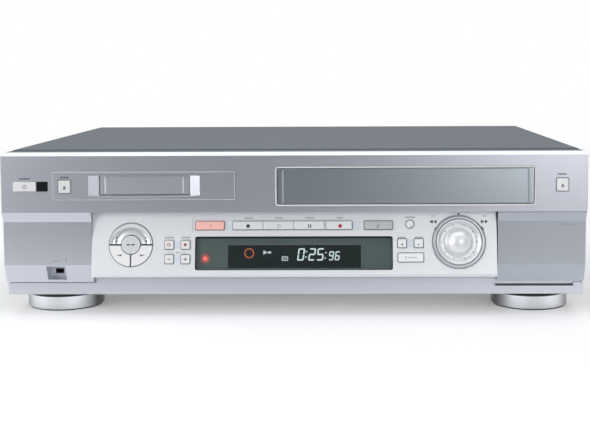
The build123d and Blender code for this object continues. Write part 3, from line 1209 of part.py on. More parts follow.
def carrier(bay):
    """Sheet-metal cage that takes the cassette, with side pins."""
    low = bay.seat_z - 0.3 - bay.sheet
    x, inner, outer = bay.x, bay.inner, bay.outer
    shape = block(x - outer, x + outer, bay.front, bay.back, bay.top_z - bay.sheet, bay.top_z)
    shape -= block(x - inner * 0.55, x + inner * 0.55, bay.front + bay.length * 0.25, bay.back - bay.length * 0.25,
                   bay.top_z - bay.sheet - 1, bay.top_z + 1)
    for side in (-1, 1):
        shape += block(*sorted((x + side * inner, x + side * outer)), bay.front, bay.back, low, bay.top_z)
        shape += block(*sorted((x + side * (inner - bay.rail), x + side * outer)), bay.front, bay.back, low,
                       low + bay.sheet)
        shape += block(*sorted((x + side * (inner - bay.rail), x + side * outer)), bay.back - bay.sheet, bay.back,
                       low, low + bay.thick * 0.6)
        for d in bay.pins:
            shape += rod_x(*sorted((x + side * (inner + 0.1), x + side * (bay.slide_outer - 0.1))), d, bay.pin_z,
                           bay.pin_r)
    return shape


def slide_frame(bay):
    """Two side plates joined by a bar: they run back in the deck's slots and guide the carrier down."""
    low = bay.stud_z - bay.pin_r - 2.5
    bar_z = bay.top_z + 0.8
    high = bar_z + bay.sheet
    bar_d = bay.back - bay.pin_inset * 0.6
    shape = block(bay.x - bay.slide_outer, bay.x + bay.slide_outer, bar_d - 4, bar_d, bar_z, high)
    slot = bay.pin_r + RUNNING_GAP
    for side in (-1, 1):
        x0, x1 = sorted((bay.x + side * bay.slide_inner, bay.x + side * bay.slide_outer))
        plate = block(x0, x1, bay.pins[0] - 6, bay.pins[1] + 6, low, bay.pin_z + slot + 3)
        plate += block(x0, x1, bar_d - 8, bar_d, low, high)
        for d in bay.pins:
            plate -= block(x0 - 1, x1 + 1, d - slot, d + slot, bay.pin_z - bay.drop, bay.pin_z)
            plate -= rod_x(x0 - 1, x1 + 1, d, bay.pin_z, slot)
            plate -= rod_x(x0 - 1, x1 + 1, d, bay.pin_z - bay.drop, slot)
            s0, s1 = sorted((bay.x + side * bay.slide_outer, bay.x + side * (bay.side_outer + 0.5)))
            plate += rod_x(s0, s1, d, bay.stud_z, bay.pin_r)
        shape += plate
    return shape


def deck_frame(bay, legs):
    """Deck plate on legs, with two slotted side walls."""
    top = bay.plate_z + 1.6 * bay.sheet
    shape = block(bay.x - bay.side_outer, bay.x + bay.side_outer, bay.front + 1, bay.plate_back,
                  bay.plate_z, top)
    slot = bay.pin_r + RUNNING_GAP
    for side in (-1, 1):
        x0, x1 = sorted((bay.x + side * bay.side_inner, bay.x + side * bay.side_outer))
        side_wall = block(x0, x1, bay.front + 1, bay.pins[1] + bay.travel + 10, bay.plate_z,
                          bay.stud_z + slot + 6)
        side_wall -= block(x0 - 1, x1 + 1, bay.pins[0], bay.pins[1] + bay.travel, bay.stud_z - slot,
                           bay.stud_z + slot)
        side_wall -= rod_x(x0 - 1, x1 + 1, bay.pins[0], bay.stud_z, slot)
        side_wall -= rod_x(x0 - 1, x1 + 1, bay.pins[1] + bay.travel, bay.stud_z, slot)
        shape += side_wall
    for x, d in legs:
        shape += rod_z(x, d, FLOOR_Z, bay.plate_z + 0.5, LEG_R)
    return shape


def mini_legs():
    """Places of the small deck's legs."""
    x = MINI_BAY.side_outer - LEG_R
    return [(MINI_X + i * x, d) for i in (-1, 1) for d in (MINI_BAY.front + 10, MINI_BAY.plate_back - 8)]


def tape_legs():
    """Places of the tape deck's legs."""
    x = TAPE_BAY.side_outer - LEG_R - 2
    return [(TAPE_X + i * x, d) for i in (-1, 1) for d in (TAPE_BAY.front + 12, TAPE_BAY.plate_back - 12)]


TAPE_PLATE_TOP = TAPE_BAY.plate_z + 1.6 * TAPE_BAY.sheet
MINI_PLATE_TOP = MINI_BAY.plate_z + 1.6 * MINI_BAY.sheet
REEL_D = TAPE_BAY.front + TAPE_BAY.travel + TAPE_BAY.length / 2
DRUM_D = TAPE_BAY.back + TAPE_BAY.travel + DRUM_R + 10
CAPSTAN_D = TAPE_BAY.back + TAPE_BAY.travel + 6
MINI_DRUM_D = MINI_BAY.back + MINI_BAY.travel + MINI_DRUM_R + 4
LOWERED_SEAT = TAPE_BAY.seat_z - TAPE_BAY.drop
DRUM = Pos(TAPE_X, FRONT_Y + DRUM_D, TAPE_PLATE_TOP + 4) * Rot(-DRUM_LEAN, 0, 0)
MINI_DRUM = Pos(MINI_X, FRONT_Y + MINI_DRUM_D, MINI_PLATE_TOP)


def tape_deck():
    """Tape deck frame with reel posts and the capstan's bush."""
    shape = deck_frame(TAPE_BAY, tape_legs())
    for side in (-1, 1):
        shape += rod_z(TAPE_X + side * REEL_PITCH / 2, REEL_D, TAPE_PLATE_TOP - 0.5, LOWERED_SEAT, REEL_POST_R)
        shape += rod_z(TAPE_X + side * REEL_PITCH / 2, REEL_D, TAPE_PLATE_TOP - 0.5, TAPE_PLATE_TOP + 1, 5)
    x = TAPE_X + CAPSTAN_OFFSET
    shape += rod_z(x, CAPSTAN_D, TAPE_PLATE_TOP - 0.5, TAPE_PLATE_TOP + 8, 4)
    shape -= rod_z(x, CAPSTAN_D, TAPE_BAY.plate_z - 1, TAPE_PLATE_TOP + 9, CAPSTAN_R + RUNNING_GAP)
    shape += rod_z(TAPE_X, DRUM_D, TAPE_PLATE_TOP - 0.5, TAPE_PLATE_TOP + 0.6, DRUM_R - 6)
    return shape


def tape_drum_base():
    """Fixed lower drum, leaning, with its foot and the bearing bore."""
    foot = rod_z(TAPE_X, DRUM_D, TAPE_PLATE_TOP + 0.6, TAPE_PLATE_TOP + 6, DRUM_R - 8)
    shape = foot + DRUM * Pos(0, 0, DRUM_BASE_H / 2 + 4) * Cylinder(DRUM_R, DRUM_BASE_H)
    groove = Cylinder(DRUM_R + 1, 1.2) - Cylinder(DRUM_R - 0.5, 2)
    shape -= DRUM * Pos(0, 0, DRUM_BASE_H - 2) * groove
    return shape - DRUM * Pos(0, 0, DRUM_BASE_H) * Cylinder(DRUM_SHAFT_R + RUNNING_GAP, 20)


def tape_drum():
    """Upper drum with head windows, its crown and shaft."""
    low = DRUM_BASE_H + 4 + PART_GAP
    shape = Pos(0, 0, low + DRUM_TOP_H / 2) * Cylinder(DRUM_R, DRUM_TOP_H)
    for i in range(4):
        window = Pos(0, DRUM_R, low + 1.5) * Box(5, 5, 3)
        shape -= Rot(0, 0, i * 90 + 20) * window
    shape -= Pos(0, 0, low + DRUM_TOP_H) * (Cylinder(DRUM_R - 6, 4) - Cylinder(9, 5))
    shape += Pos(0, 0, low - 5) * Cylinder(DRUM_SHAFT_R, 12)
    return DRUM * shape


def reel_table(side):
    """Reel table on its post, with a splined spindle for the cassette's hub."""
    x = TAPE_X + side * REEL_PITCH / 2
    low = TAPE_PLATE_TOP + 1 + PART_GAP
    shape = rod_z(x, REEL_D, low, low + 3, REEL_R)
    shape += rod_z(x, REEL_D, low, LOWERED_SEAT - 2, REEL_POST_R + 4)
    shape += rod_z(x, REEL_D, LOWERED_SEAT - 3, LOWERED_SEAT + 8, 6.5)
    for i in range(3):
        spline = Pos(0, 7.5, LOWERED_SEAT + 2) * Box(2, 3.4, 8)
        shape += Pos(x, FRONT_Y + REEL_D, 0) * Rot(0, 0, i * 120) * spline
    return shape - rod_z(x, REEL_D, low - 1, LOWERED_SEAT + PART_GAP, REEL_POST_R + RUNNING_GAP)


def tape_capstan():
    """Capstan shaft with its flywheel under the deck plate."""
    x = TAPE_X + CAPSTAN_OFFSET
    top = TAPE_BAY.plate_z - 1.0
    shape = rod_z(x, CAPSTAN_D, top - FLYWHEEL_H, top, FLYWHEEL_R)
    return shape + rod_z(x, CAPSTAN_D, top - 0.5, TAPE_PLATE_TOP + 34, CAPSTAN_R)


def mini_deck():
    """Small deck frame with the post of its drum."""
    shape = deck_frame(MINI_BAY, mini_legs())
    shape += MINI_DRUM * Pos(0, 0, 1.5) * Cylinder(MINI_DRUM_R, 4)
    return shape + MINI_DRUM * Pos(0, 0, 6) * Cylinder(MINI_SHAFT_R, 12)


def mini_drum():
    """Small head drum turning on its post."""
    low = 3.5 + PART_GAP
    shape = Pos(0, 0, low + MINI_DRUM_H / 2) * Cylinder(MINI_DRUM_R, MINI_DRUM_H)
    shape -= Pos(0, 0, low) * Cylinder(MINI_SHAFT_R + RUNNING_GAP, 2 * (12 - low) + 1)
    shape -= Pos(0, 0, low + MINI_DRUM_H) * (Cylinder(MINI_DRUM_R - 2.5, 3) - Cylinder(3, 4))
    return MINI_DRUM * shape


NODES = {
    "top_cover": top_cover,
    "bottom_chassis": bottom_chassis,
    "rear_panel": rear_panel,
    "front_panel": front_panel,
    "control_panel": control_panel,
    "base_trim": base_trim,
    "mini_surround": mini_surround,
    "tape_door_trim": tape_door_trim,
    "display_window": display_window,
    "display_module": display_module,
    "sensor_window": sensor_window,
    "dub_bezel": dub_bezel,
    "front_jack_block": front_jack_block,
    "link_socket": link_socket,
    "front_board": front_board,
    "feet": feet,
    "foot_pads": foot_pads,
    "rear_jacks": rear_jacks,
    "antenna_connectors": antenna_connectors,
    "mains_inlet": mains_inlet,
    "main_board": main_board,
    "power_supply": power_supply,
    "screws": screws,
    "tape_deck": tape_deck,
    "tape_drum_base": tape_drum_base,
    "mini_deck": mini_deck,
    "tape_door": lambda: cassette_door(TAPE_X, TAPE_DOOR_W, TAPE_DOOR_LOW_Z, TAPE_DOOR_H, TAPE_DOOR_D,
                                       TAPE_DOOR_T, TAPE_HINGE_Z, HINGE_BEHIND, HINGE_PIN_R, HINGE_HUB_R,
                                       2.4, DOOR_GAP + THIN_WALL),
    "mini_tape_door": lambda: cassette_door(MINI_X, MINI_DOOR_W, MINI_DOOR_LOW_Z, MINI_DOOR_H, MINI_DOOR_D,
                                            MINI_DOOR_T, MINI_HINGE_Z, MINI_HINGE_BEHIND, MINI_PIN_R, MINI_HUB_R,
                                            1.7, DOOR_GAP + THIN_WALL),
    "jack_door": jack_door,
    "power_button": lambda: cap_on_face(POWER_X, POWER_Z, POWER_W, POWER_H, -FACE_PROUD, 0.5),
    "mini_eject_button": lambda: cap_on_face(MINI_EJECT_X, MINI_EJECT_Z, EJECT_W, EJECT_H,
                                             -SURROUND_PROUD - FACE_PROUD, 0.8),
    "tape_eject_button": lambda: cap_on_face(TAPE_EJECT_X, TAPE_EJECT_Z, EJECT_W, EJECT_H, -FACE_PROUD, 0.8),
    "mode_button": mode_button,
    "dub_left_button": lambda: dub_side_button(-1),
    "dub_right_button": lambda: dub_side_button(1),
    "dub_centre_button": dub_centre_button,
    "jog_dial": jog_dial,
    "shuttle_ring": shuttle_ring,
    "tape_carrier": lambda: carrier(TAPE_BAY),
    "tape_slide_frame": lambda: slide_frame(TAPE_BAY),
    "supply_reel": lambda: reel_table(-1),
    "takeup_reel": lambda: reel_table(1),
    "tape_capstan": tape_capstan,
    "tape_drum": tape_drum,
    "mini_carrier": lambda: carrier(MINI_BAY),
    "mini_slide_frame": lambda: slide_frame(MINI_BAY),
    "mini_drum": mini_drum,
}

os.makedirs("parts", exist_ok=True)
for name, make in NODES.items():
    export_step(make(), f"parts/{name}.step")
for name, sizes in PLATE_BUTTONS.items():
    export_step(plate_button(*sizes), f"parts/{name}.step")
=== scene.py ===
"""Looks of the dual cassette video recorder: finishes, printed marks, display, lamps and studio."""

import logging
from dataclasses import dataclass
from enum import Enum
from math import atan, cos, pi, radians, sin
from typing import Optional, Sequence, Union

import bmesh
import bpy
from mathutils import Matrix, Vector

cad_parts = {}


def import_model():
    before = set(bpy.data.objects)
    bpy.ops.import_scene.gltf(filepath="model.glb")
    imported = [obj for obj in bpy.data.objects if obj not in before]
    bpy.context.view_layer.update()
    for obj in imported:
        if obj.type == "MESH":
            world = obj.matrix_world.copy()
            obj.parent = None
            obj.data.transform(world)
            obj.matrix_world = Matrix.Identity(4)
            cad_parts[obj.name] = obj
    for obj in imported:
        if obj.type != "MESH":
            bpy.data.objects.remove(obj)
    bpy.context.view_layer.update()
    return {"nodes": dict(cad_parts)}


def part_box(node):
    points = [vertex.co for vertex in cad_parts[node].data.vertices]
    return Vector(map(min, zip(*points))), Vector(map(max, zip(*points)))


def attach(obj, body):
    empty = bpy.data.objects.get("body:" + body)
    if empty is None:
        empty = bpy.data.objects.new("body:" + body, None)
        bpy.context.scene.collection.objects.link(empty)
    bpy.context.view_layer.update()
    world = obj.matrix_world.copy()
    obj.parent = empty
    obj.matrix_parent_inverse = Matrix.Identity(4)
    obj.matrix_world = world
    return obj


MM = 0.001
MICRON = 0.000001
TURN = 2 * pi
SHARP_EDGE = radians(35.0)
PRINT_THICK = 0.03
HOUSING = "housing"
log = logging.getLogger("recorder")

Point = tuple[float, float]
Colour = tuple[float, float, float]
Triple = tuple[float, float, float]
Patch = tuple[float, float, float, float]
Outline = Sequence[Point]
Ring = tuple[Outline, Outline]
Value = Union["Field", float, Colour]
Outlines = Sequence[Outline]
Rings = Sequence[Ring]
Inputs = dict[Union[int, str], Value]
ORIGIN: Triple = (0.0, 0.0, 0.0)
NO_LIGHT: Colour = (0.0, 0.0, 0.0)
WHITE: Colour = (1.0, 1.0, 1.0)


class Way(Enum):
    """Direction that a plain mark points in."""

    LEFT = pi
    RIGHT = 0.0
    UP = pi / 2
    DOWN = -pi / 2


class Slot(Enum):
    """Material slots of the record, passed with new pieces."""

    PLATE = "plate_silver"
    GREY = "button_grey"
    DISPLAY = "display_black"
    BLACK = "black_plastic"
    TRIM = "bright_trim"
    ZINC = "zinc_steel"
    NICKEL = "socket_nickel"


# Shader maths

@dataclass(frozen=True)
class Field:
    """One value, colour or vector of a shader; arithmetic on it adds nodes."""

    sheet: "NodeSheet"
    socket: bpy.types.NodeSocket

    def __add__(self, other: Value) -> "Field":
        """Sum of two values."""
        return self.sheet.maths("ADD", self, other)

    def __sub__(self, other: Value) -> "Field":
        """Difference of two values."""
        return self.sheet.maths("SUBTRACT", self, other)

    def __rsub__(self, other: Value) -> "Field":
        """Difference with this value on the right."""
        return self.sheet.maths("SUBTRACT", other, self)

    def __neg__(self) -> "Field":
        """The value with its sign turned."""
        return self.sheet.maths("MULTIPLY", self, -1.0)

    def __mul__(self, other: Value) -> "Field":
        """Product of two values."""
        return self.sheet.maths("MULTIPLY", self, other)

    def __truediv__(self, other: Value) -> "Field":
        """Quotient of two values."""
        return self.sheet.maths("DIVIDE", self, other)

    def __pow__(self, other: Value) -> "Field":
        """Power of a value."""
        return self.sheet.maths("POWER", self, other)

    __radd__ = __add__
    __rmul__ = __mul__

    def unsigned(self) -> "Field":
        """The value without its sign."""
        return self.sheet.maths("ABSOLUTE", self)

    def clamped(self) -> "Field":
        """The value kept between 0 and 1."""
        return self.sheet.maths("MINIMUM", self.sheet.maths("MAXIMUM", self, 0.0), 1.0)

    def wave(self) -> "Field":
        """Sine of the value, brought between 0 and 1."""
        return self.sheet.maths("SINE", self) * 0.5 + 0.5


class NodeSheet:
    """Node tree of one material or of the world, written as expressions."""

    def __init__(self, tree: bpy.types.NodeTree) -> None:
        """Take over a node tree and empty it."""
        self.tree = tree
        tree.nodes.clear()

    def node(self, kind: str, inputs: Optional[Inputs] = None, output: Union[int, str] = 0,
             **settings: Union[str, float]) -> Field:
        """Add one node.

        Args:
            kind: the node's type.
            inputs: values or links of its sockets, by name or number.
            output: the socket that is handed back.
            settings: the node's own properties.

        Returns:
            The chosen output.
        """
        made = self.tree.nodes.new(kind)
        for key, value in settings.items():
            setattr(made, key, value)
        for key, value in (inputs or {}).items():
            self.feed(made.inputs[key], value)
        return Field(self, made.outputs[output])

    def feed(self, socket: bpy.types.NodeSocket, value: Value) -> None:
        """Give a socket a link or a plain value."""
        if isinstance(value, Field):
            self.tree.links.new(value.socket, socket)
        elif isinstance(value, tuple) and socket.type == "RGBA":
            socket.default_value = (*value, 1.0)
        else:
            socket.default_value = value

    def maths(self, operation: str, a: Value, b: Value = 0.0) -> Field:
        """One Math node on two values."""
        return self.node("ShaderNodeMath", {0: a, 1: b}, operation=operation)

    def vectors(self, operation: str, a: Value, b: Value = ORIGIN, output: str = "Vector") -> Field:
        """One Vector Math node on two vectors."""
        return self.node("ShaderNodeVectorMath", {0: a, 1: b}, output, operation=operation)

    def where(self) -> Field:
        """Place on the piece, in metres of the shared frame."""
        return self.node("ShaderNodeTexCoord", output="Object")

    def radius(self, centre: Triple) -> Field:
        """Distance from a point of the shared frame, in metres."""
        return self.vectors("DISTANCE", self.where(), centre, "Value")

    def split(self, vector: Field) -> list[Field]:
        """The three parts of a vector."""
        parts = self.node("ShaderNodeSeparateXYZ", {0: vector}).socket.node.outputs
        return [Field(self, part) for part in parts]

    def noise(self, scale: float, detail: float = 2.0, stretch: Triple = (1.0, 1.0, 1.0)) -> Field:
        """Noise over the piece: cells to the metre, finer layers, and a factor on each axis."""
        place = self.node("ShaderNodeMapping", {"Vector": self.where(), "Scale": stretch})
        return self.node("ShaderNodeTexNoise", {"Vector": place, "Scale": scale, "Detail": detail})

    def cells(self, scale: float) -> Field:
        """Distance from the middle of the nearest of many cells, so many to the metre."""
        return self.node("ShaderNodeTexVoronoi", {"Vector": self.where(), "Scale": scale})

    def tint(self, amount: Value, low: Value, high: Value) -> Field:
        """Mix two colours by an amount, which the node keeps between 0 and 1."""
        return self.node("ShaderNodeMix", {0: amount, 6: low, 7: high}, 2, data_type="RGBA")

    def varied(self, amount: Field, base: Colour, low: float, high: float) -> Field:
        """A colour that runs from low times to high times its base as the amount goes from 0 to 1."""
        return self.tint(amount, tuple(c * low for c in base), tuple(min(c * high, 1.0) for c in base))

    def relief(self, height: Field, depth: float, strength: float, edge: float = 0.0) -> Field:
        """Surface relief.

        Args:
            height: the relief's height, 0 to 1.
            depth: its full depth in microns.
            strength: how strongly it shows.
            edge: radius of eased edges in millimetres, 0 for none.

        Returns:
            The bent normal.
        """
        inputs = {"Height": height, "Distance": depth * MICRON, "Strength": strength}
        if edge:
            inputs["Normal"] = self.node("ShaderNodeBevel", {"Radius": edge * MM}, samples=4)
        return self.node("ShaderNodeBump", inputs)

    def blend(self, amount: Value, first: Field, second: Field) -> Field:
        """Mix two shaders by an amount."""
        return self.node("ShaderNodeMixShader", {0: amount, 1: first, 2: second})

    def close(self, shader: Field, kind: str = "ShaderNodeOutputMaterial") -> None:
        """Join a shader to the tree's output."""
        self.feed(self.tree.nodes.new(kind).inputs["Surface"], shader)


# Finishes; grain scales are cells to the metre, depths are microns, edges are millimetres

@dataclass(frozen=True)
class Finish:
    """What every finish has: a name, and the inputs that its Principled shader gets."""

    name: str

    def material(self) -> bpy.types.Material:
        """Material of this finish, made once."""
        made = bpy.data.materials.get(self.name)
        if made is None:
            made = bpy.data.materials.new(self.name)
            made.use_nodes = True
            sheet = NodeSheet(made.node_tree)
            sheet.close(sheet.node("ShaderNodeBsdfPrincipled", self.inputs(sheet)))
        return made

    def inputs(self, sheet: NodeSheet) -> Inputs:
        """Inputs of the shader, by name."""
        raise NotImplementedError


@dataclass(frozen=True)
class MetallicPaint(Finish):
    """Silver paint with fine flakes over moulded plastic."""

    base: Colour
    metallic: float
    rough: float
    flake: float = 2600.0
    drift: float = 9.0
    peel: float = 900.0
    edge: float = 0.3

    def inputs(self, sheet: NodeSheet) -> Inputs:
        """Flakes that differ in tone, a slow drift of tone and a faint orange peel."""
        flake, drift = sheet.noise(self.flake, 3.0), sheet.noise(self.drift)
        peel = sheet.noise(self.peel, 1.0)
        return {"Base Color": sheet.varied(flake * 0.75 + drift * 0.25, self.base, 0.88, 1.12),
                "Metallic": self.metallic, "Roughness": flake * 0.12 + (self.rough - 0.06),
                "Normal": sheet.relief(flake * 0.4 + peel * 0.6, 30.0, 0.5, self.edge)}


@dataclass(frozen=True)
class PowderCoat(Finish):
    """Fine satin paint on sheet steel, with a slight grain."""

    base: Colour
    rough: float
    specular: float = 0.35
    grain: float = 1500.0
    drift: float = 5.0

    def inputs(self, sheet: NodeSheet) -> Inputs:
        """Grain in tone, roughness and relief."""
        grain, drift = sheet.noise(self.grain), sheet.noise(self.drift, 3.0)
        return {"Base Color": sheet.varied(grain * 0.6 + drift * 0.4, self.base, 0.86, 1.14),
                "Roughness": grain * 0.15 + drift * 0.08 + (self.rough - 0.11),
                "Specular IOR Level": self.specular, "Normal": sheet.relief(grain, 60.0, 0.6, 0.4)}


@dataclass(frozen=True)
class Moulded(Finish):
    """Moulded plastic, satin key paint or ink, from matt to glossy."""

    base: Colour
    rough: float
    grain: float = 1800.0
    depth: float = 40.0
    specular: float = 0.5
    metallic: float = 0.0
    edge: float = 0.2
    glow: Optional[Colour] = None
    drift: float = 30.0

    def inputs(self, sheet: NodeSheet) -> Inputs:
        """Fine spark grain, a slow drift in tone and, if asked, an even glow."""
        grain, drift = sheet.noise(self.grain), sheet.noise(self.drift)
        inputs = {"Base Color": sheet.varied(grain * 0.5 + drift * 0.5, self.base, 0.9, 1.1),
                  "Roughness": grain * 0.1 + drift * 0.06 + (self.rough - 0.08),
                  "Metallic": self.metallic, "Specular IOR Level": self.specular,
                  "Normal": sheet.relief(grain, self.depth, 0.5, self.edge)}
        if self.glow:
            inputs["Emission Color"] = sheet.varied(drift, self.glow, 0.85, 1.15)
            inputs["Emission Strength"] = 1.0
        return inputs


@dataclass(frozen=True)
class Plated(Finish):
    """Plated metal with faint wipe marks."""

    base: Colour
    rough: float
    wipe: float = 60.0
    fine: float = 1200.0

    def inputs(self, sheet: NodeSheet) -> Inputs:
        """Wipe marks in roughness and a faint waviness."""
        wipe, fine = sheet.noise(self.wipe, 4.0, (1.0, 1.0, 6.0)), sheet.noise(self.fine)
        return {"Base Color": sheet.varied(wipe, self.base, 0.94, 1.06), "Metallic": 1.0,
                "Roughness": wipe * 0.1 + fine * 0.04 + self.rough,
                "Normal": sheet.relief(fine, 10.0, 0.3, 0.2)}


@dataclass(frozen=True)
class Turned(Finish):
    """Metal turned on a lathe: fine rings about an axis and, if asked, a paler core of painted highlight;
    pitch and highlight radius are millimetres.
    """

    base: Colour
    centre: Triple
    axis: Triple
    pitch: float
    rough: float
    depth: float = 15.0
    metallic: float = 1.0
    # A paler core within this radius, in the core colour, is a painted highlight.
    highlight_r: float = 0.0
    core: Colour = WHITE
    lead: float = 0.7
    uneven: float = 500.0
    waver: float = 4.0
    highlight_fade: float = 0.08

    def inputs(self, sheet: NodeSheet) -> Inputs:
        """Rings by the distance from the axis, with an uneven cut and, if asked, a paler core of painted
        highlight.
        """
        place = sheet.where()
        arm = sheet.vectors("SUBTRACT", place, self.centre)
        away = sheet.vectors("LENGTH", sheet.vectors("CROSS_PRODUCT", arm, self.axis), output="Value")
        along = sheet.vectors("DOT_PRODUCT", place, self.axis, "Value")
        uneven = sheet.noise(self.uneven, 3.0)
        cut = ((away + along * self.lead) * (TURN / (self.pitch * MM)) + uneven * self.waver).wave()
        colour = sheet.varied(cut * 0.6 + uneven * 0.4, self.base, 0.93, 1.07)
        if self.highlight_r:
            highlight_r = self.highlight_r * MM
            colour = sheet.tint((highlight_r - away) / (highlight_r * self.highlight_fade), colour, self.core)
        return {"Base Color": colour, "Metallic": self.metallic,
                "Roughness": cut * 0.06 + uneven * 0.1 + self.rough,
                "Normal": sheet.relief(cut, self.depth, 0.5, 0.3)}


@dataclass(frozen=True)
class PaintedReflectionMetal(Finish):
    """Turned metal of the feet, with painted reflections in upright stripes round each foot and painted shade
    in a dark band at the top; places are metres.
    """

    base: Colour
    foot_x: float
    middle_y: float
    reach_y: float
    shade_neck_z: float
    shade_neck_fade: float = 0.05 * MM
    line_pitch: float = 0.7 * MM
    first: float = 0.9
    sweep: float = 2.7
    sway: float = 0.6
    sway_scale: float = 60.0
    rough: float = 0.12
    shade_neck_rough: float = 0.4
    shade_neck: Colour = (0.035, 0.035, 0.038)

    def inputs(self, sheet: NodeSheet) -> Inputs:
        """Stripes of painted reflection by the angle about the nearest foot's axis and fine turning lines,
        below a dark band of painted shade.
        """
        x, y, z = sheet.split(sheet.where())
        along = self.reach_y - (y - self.middle_y).unsigned()
        turn = sheet.maths("COSINE", sheet.maths("ARCTAN2", along, x.unsigned() - self.foot_x))
        uneven = sheet.noise(self.sway_scale, 2.0, (1.0, 1.0, 0.05))
        phase = turn * turn * self.sweep + uneven * self.sway + (self.first - self.sway / 2)
        lines = (z * (TURN / self.line_pitch)).wave()
        metal = ((self.shade_neck_z - z) / self.shade_neck_fade).clamped()
        # Upright stripes of painted reflection; above shade_neck_z, a dark band of painted shade.
        painted_reflections = sheet.varied(sheet.maths("SINE", phase), self.base, 0.35, 1.6)
        rough = lines * 0.05 + uneven * 0.06 - metal * self.shade_neck_rough + (self.rough + self.shade_neck_rough)
        return {"Base Color": sheet.tint(metal, self.shade_neck, painted_reflections), "Metallic": metal, "Roughness": rough,
                "Normal": sheet.relief(lines, 10.0, 0.4, 0.3)}


@dataclass(frozen=True)
class SheetSteel(Finish):
    """Zinc-plated steel with spangle and rolling lines."""

    base: Colour
    rough: float = 0.32
    spangle: float = 160.0
    rolled: float = 220.0
    stain: float = 18.0

    def inputs(self, sheet: NodeSheet) -> Inputs:
        """Spangle cells, rolling lines and small stains."""
        lines, stain = sheet.noise(self.rolled, 3.0, (1.0, 0.03, 1.0)), sheet.noise(self.stain, 4.0)
        tone = sheet.cells(self.spangle) * 1.2 + lines * 0.3 + stain * 0.3
        return {"Base Color": sheet.varied(tone, self.base, 0.78, 1.12), "Metallic": 0.9,
                "Roughness": lines * 0.15 + stain * 0.15 + (self.rough - 0.1),
                "Normal": sheet.relief(lines, 30.0, 0.5, 0.3)}


@dataclass(frozen=True)
class CircuitBoard(Finish):
    """Solder mask with copper runs under it, and pads."""

    base: Colour
    copper: Colour
    pad: Colour = (0.55, 0.56, 0.55)
    pad_scale: float = 260.0
    pad_r: float = 0.16
    run_scale: float = 90.0
    run_w: float = 0.06

    def inputs(self, sheet: NodeSheet) -> Inputs:
        """Runs along the joints of a brick pattern; small pads are bright."""
        runs = sheet.node("ShaderNodeTexBrick", {
            "Vector": sheet.where(), "Scale": self.run_scale, "Mortar Size": self.run_w, "Mortar": WHITE,
            "Color1": NO_LIGHT, "Color2": NO_LIGHT}, "Fac", offset=0.5)
        pad = sheet.maths("LESS_THAN", sheet.cells(self.pad_scale), self.pad_r)
        return {"Base Color": sheet.tint(pad, sheet.tint(runs, self.base, self.copper), self.pad),
                "Metallic": pad * 0.8, "Roughness": 0.42 - pad * 0.15,
                "Normal": sheet.relief(runs + pad, 80.0, 0.6)}


@dataclass(frozen=True)
class SmokedGlass(Finish):
    """Smoked clear plastic that lets the display show."""

    base: Colour
    alpha: float
    rough: float = 0.07
    specular: float = 0.22
    haze: float = 40.0

    def inputs(self, sheet: NodeSheet) -> Inputs:
        """Thin haze with faint polishing marks."""
        haze = sheet.noise(self.haze, 3.0)
        return {"Base Color": sheet.varied(haze, self.base, 0.92, 1.08),
                "Roughness": haze * 0.06 + self.rough,
                "Specular IOR Level": self.specular, "Alpha": haze * 0.03 + self.alpha}


@dataclass(frozen=True)
class Glow(Finish):
    """Lit segment or lamp, with a slightly uneven light; the reach of a halo is metres."""

    light: Colour
    strength: float
    dark: Colour = (0.02, 0.02, 0.02)
    centre: Optional[Triple] = None
    reach: float = 0.0
    core: float = 0.0
    rough: float = 0.35
    grain: float = 900.0

    def inputs(self, sheet: NodeSheet) -> Inputs:
        """Even light, or light that fades out from a centre where one is given."""
        uneven = sheet.noise(self.grain)
        inputs = {"Base Color": sheet.varied(uneven, self.dark, 0.9, 1.1),
                  "Roughness": uneven * 0.1 + self.rough, "Emission Strength": self.strength,
                  "Emission Color": sheet.varied(uneven, self.light, 0.93, 1.0)}
        if self.centre:
            away = sheet.radius(self.centre) / self.reach
            wide, narrow = (1.0 - away).clamped() ** 2.0, (1.0 - away * 3.0).clamped()
            inputs["Alpha"] = wide * (1.0 - self.core) + narrow * self.core
        return inputs


def key_paint(name: str, base: Colour, rough: float, metallic: float, edge: float = 0.8) -> Moulded:
    """Satin paint of push buttons."""
    return Moulded(name, base, rough, 2200.0, 20.0, metallic=metallic, edge=edge)


def ink(name: str, base: Colour, rough: float = 0.6, grain: float = 3000.0,
        specular: float = 0.2) -> Moulded:
    """Printed ink, matt and thin; also used for marks of painted shade."""
    return Moulded(name, base, rough, grain, 3.0, specular)


SILVER = MetallicPaint("front_silver_paint", (0.615, 0.64, 0.705), 0.8, 0.36)
PLATE = MetallicPaint("plate_silver_paint", (0.82, 0.835, 0.865), 0.2, 0.42)
DOOR = MetallicPaint("door_silver_paint", (0.47, 0.525, 0.57), 0.85, 0.32)
MINI_DOOR = MetallicPaint("mini_door_silver_paint", (0.70, 0.72, 0.775), 0.8, 0.36)
JACK_DOOR = MetallicPaint("jack_door_silver_paint", (0.475, 0.505, 0.56), 0.8, 0.36)
WHEEL_DISH = MetallicPaint("wheel_dish_silver", (0.74, 0.755, 0.78), 0.7, 0.32)
COVER = PowderCoat("cover_grey_paint", (0.115, 0.135, 0.158), 0.6, 0.1)
REAR = PowderCoat("rear_grey_paint", (0.10, 0.115, 0.135), 0.55)
TRIM = Moulded("trim_bright_lacquer", (0.93, 0.94, 0.95), 0.2, 900.0, 5.0)
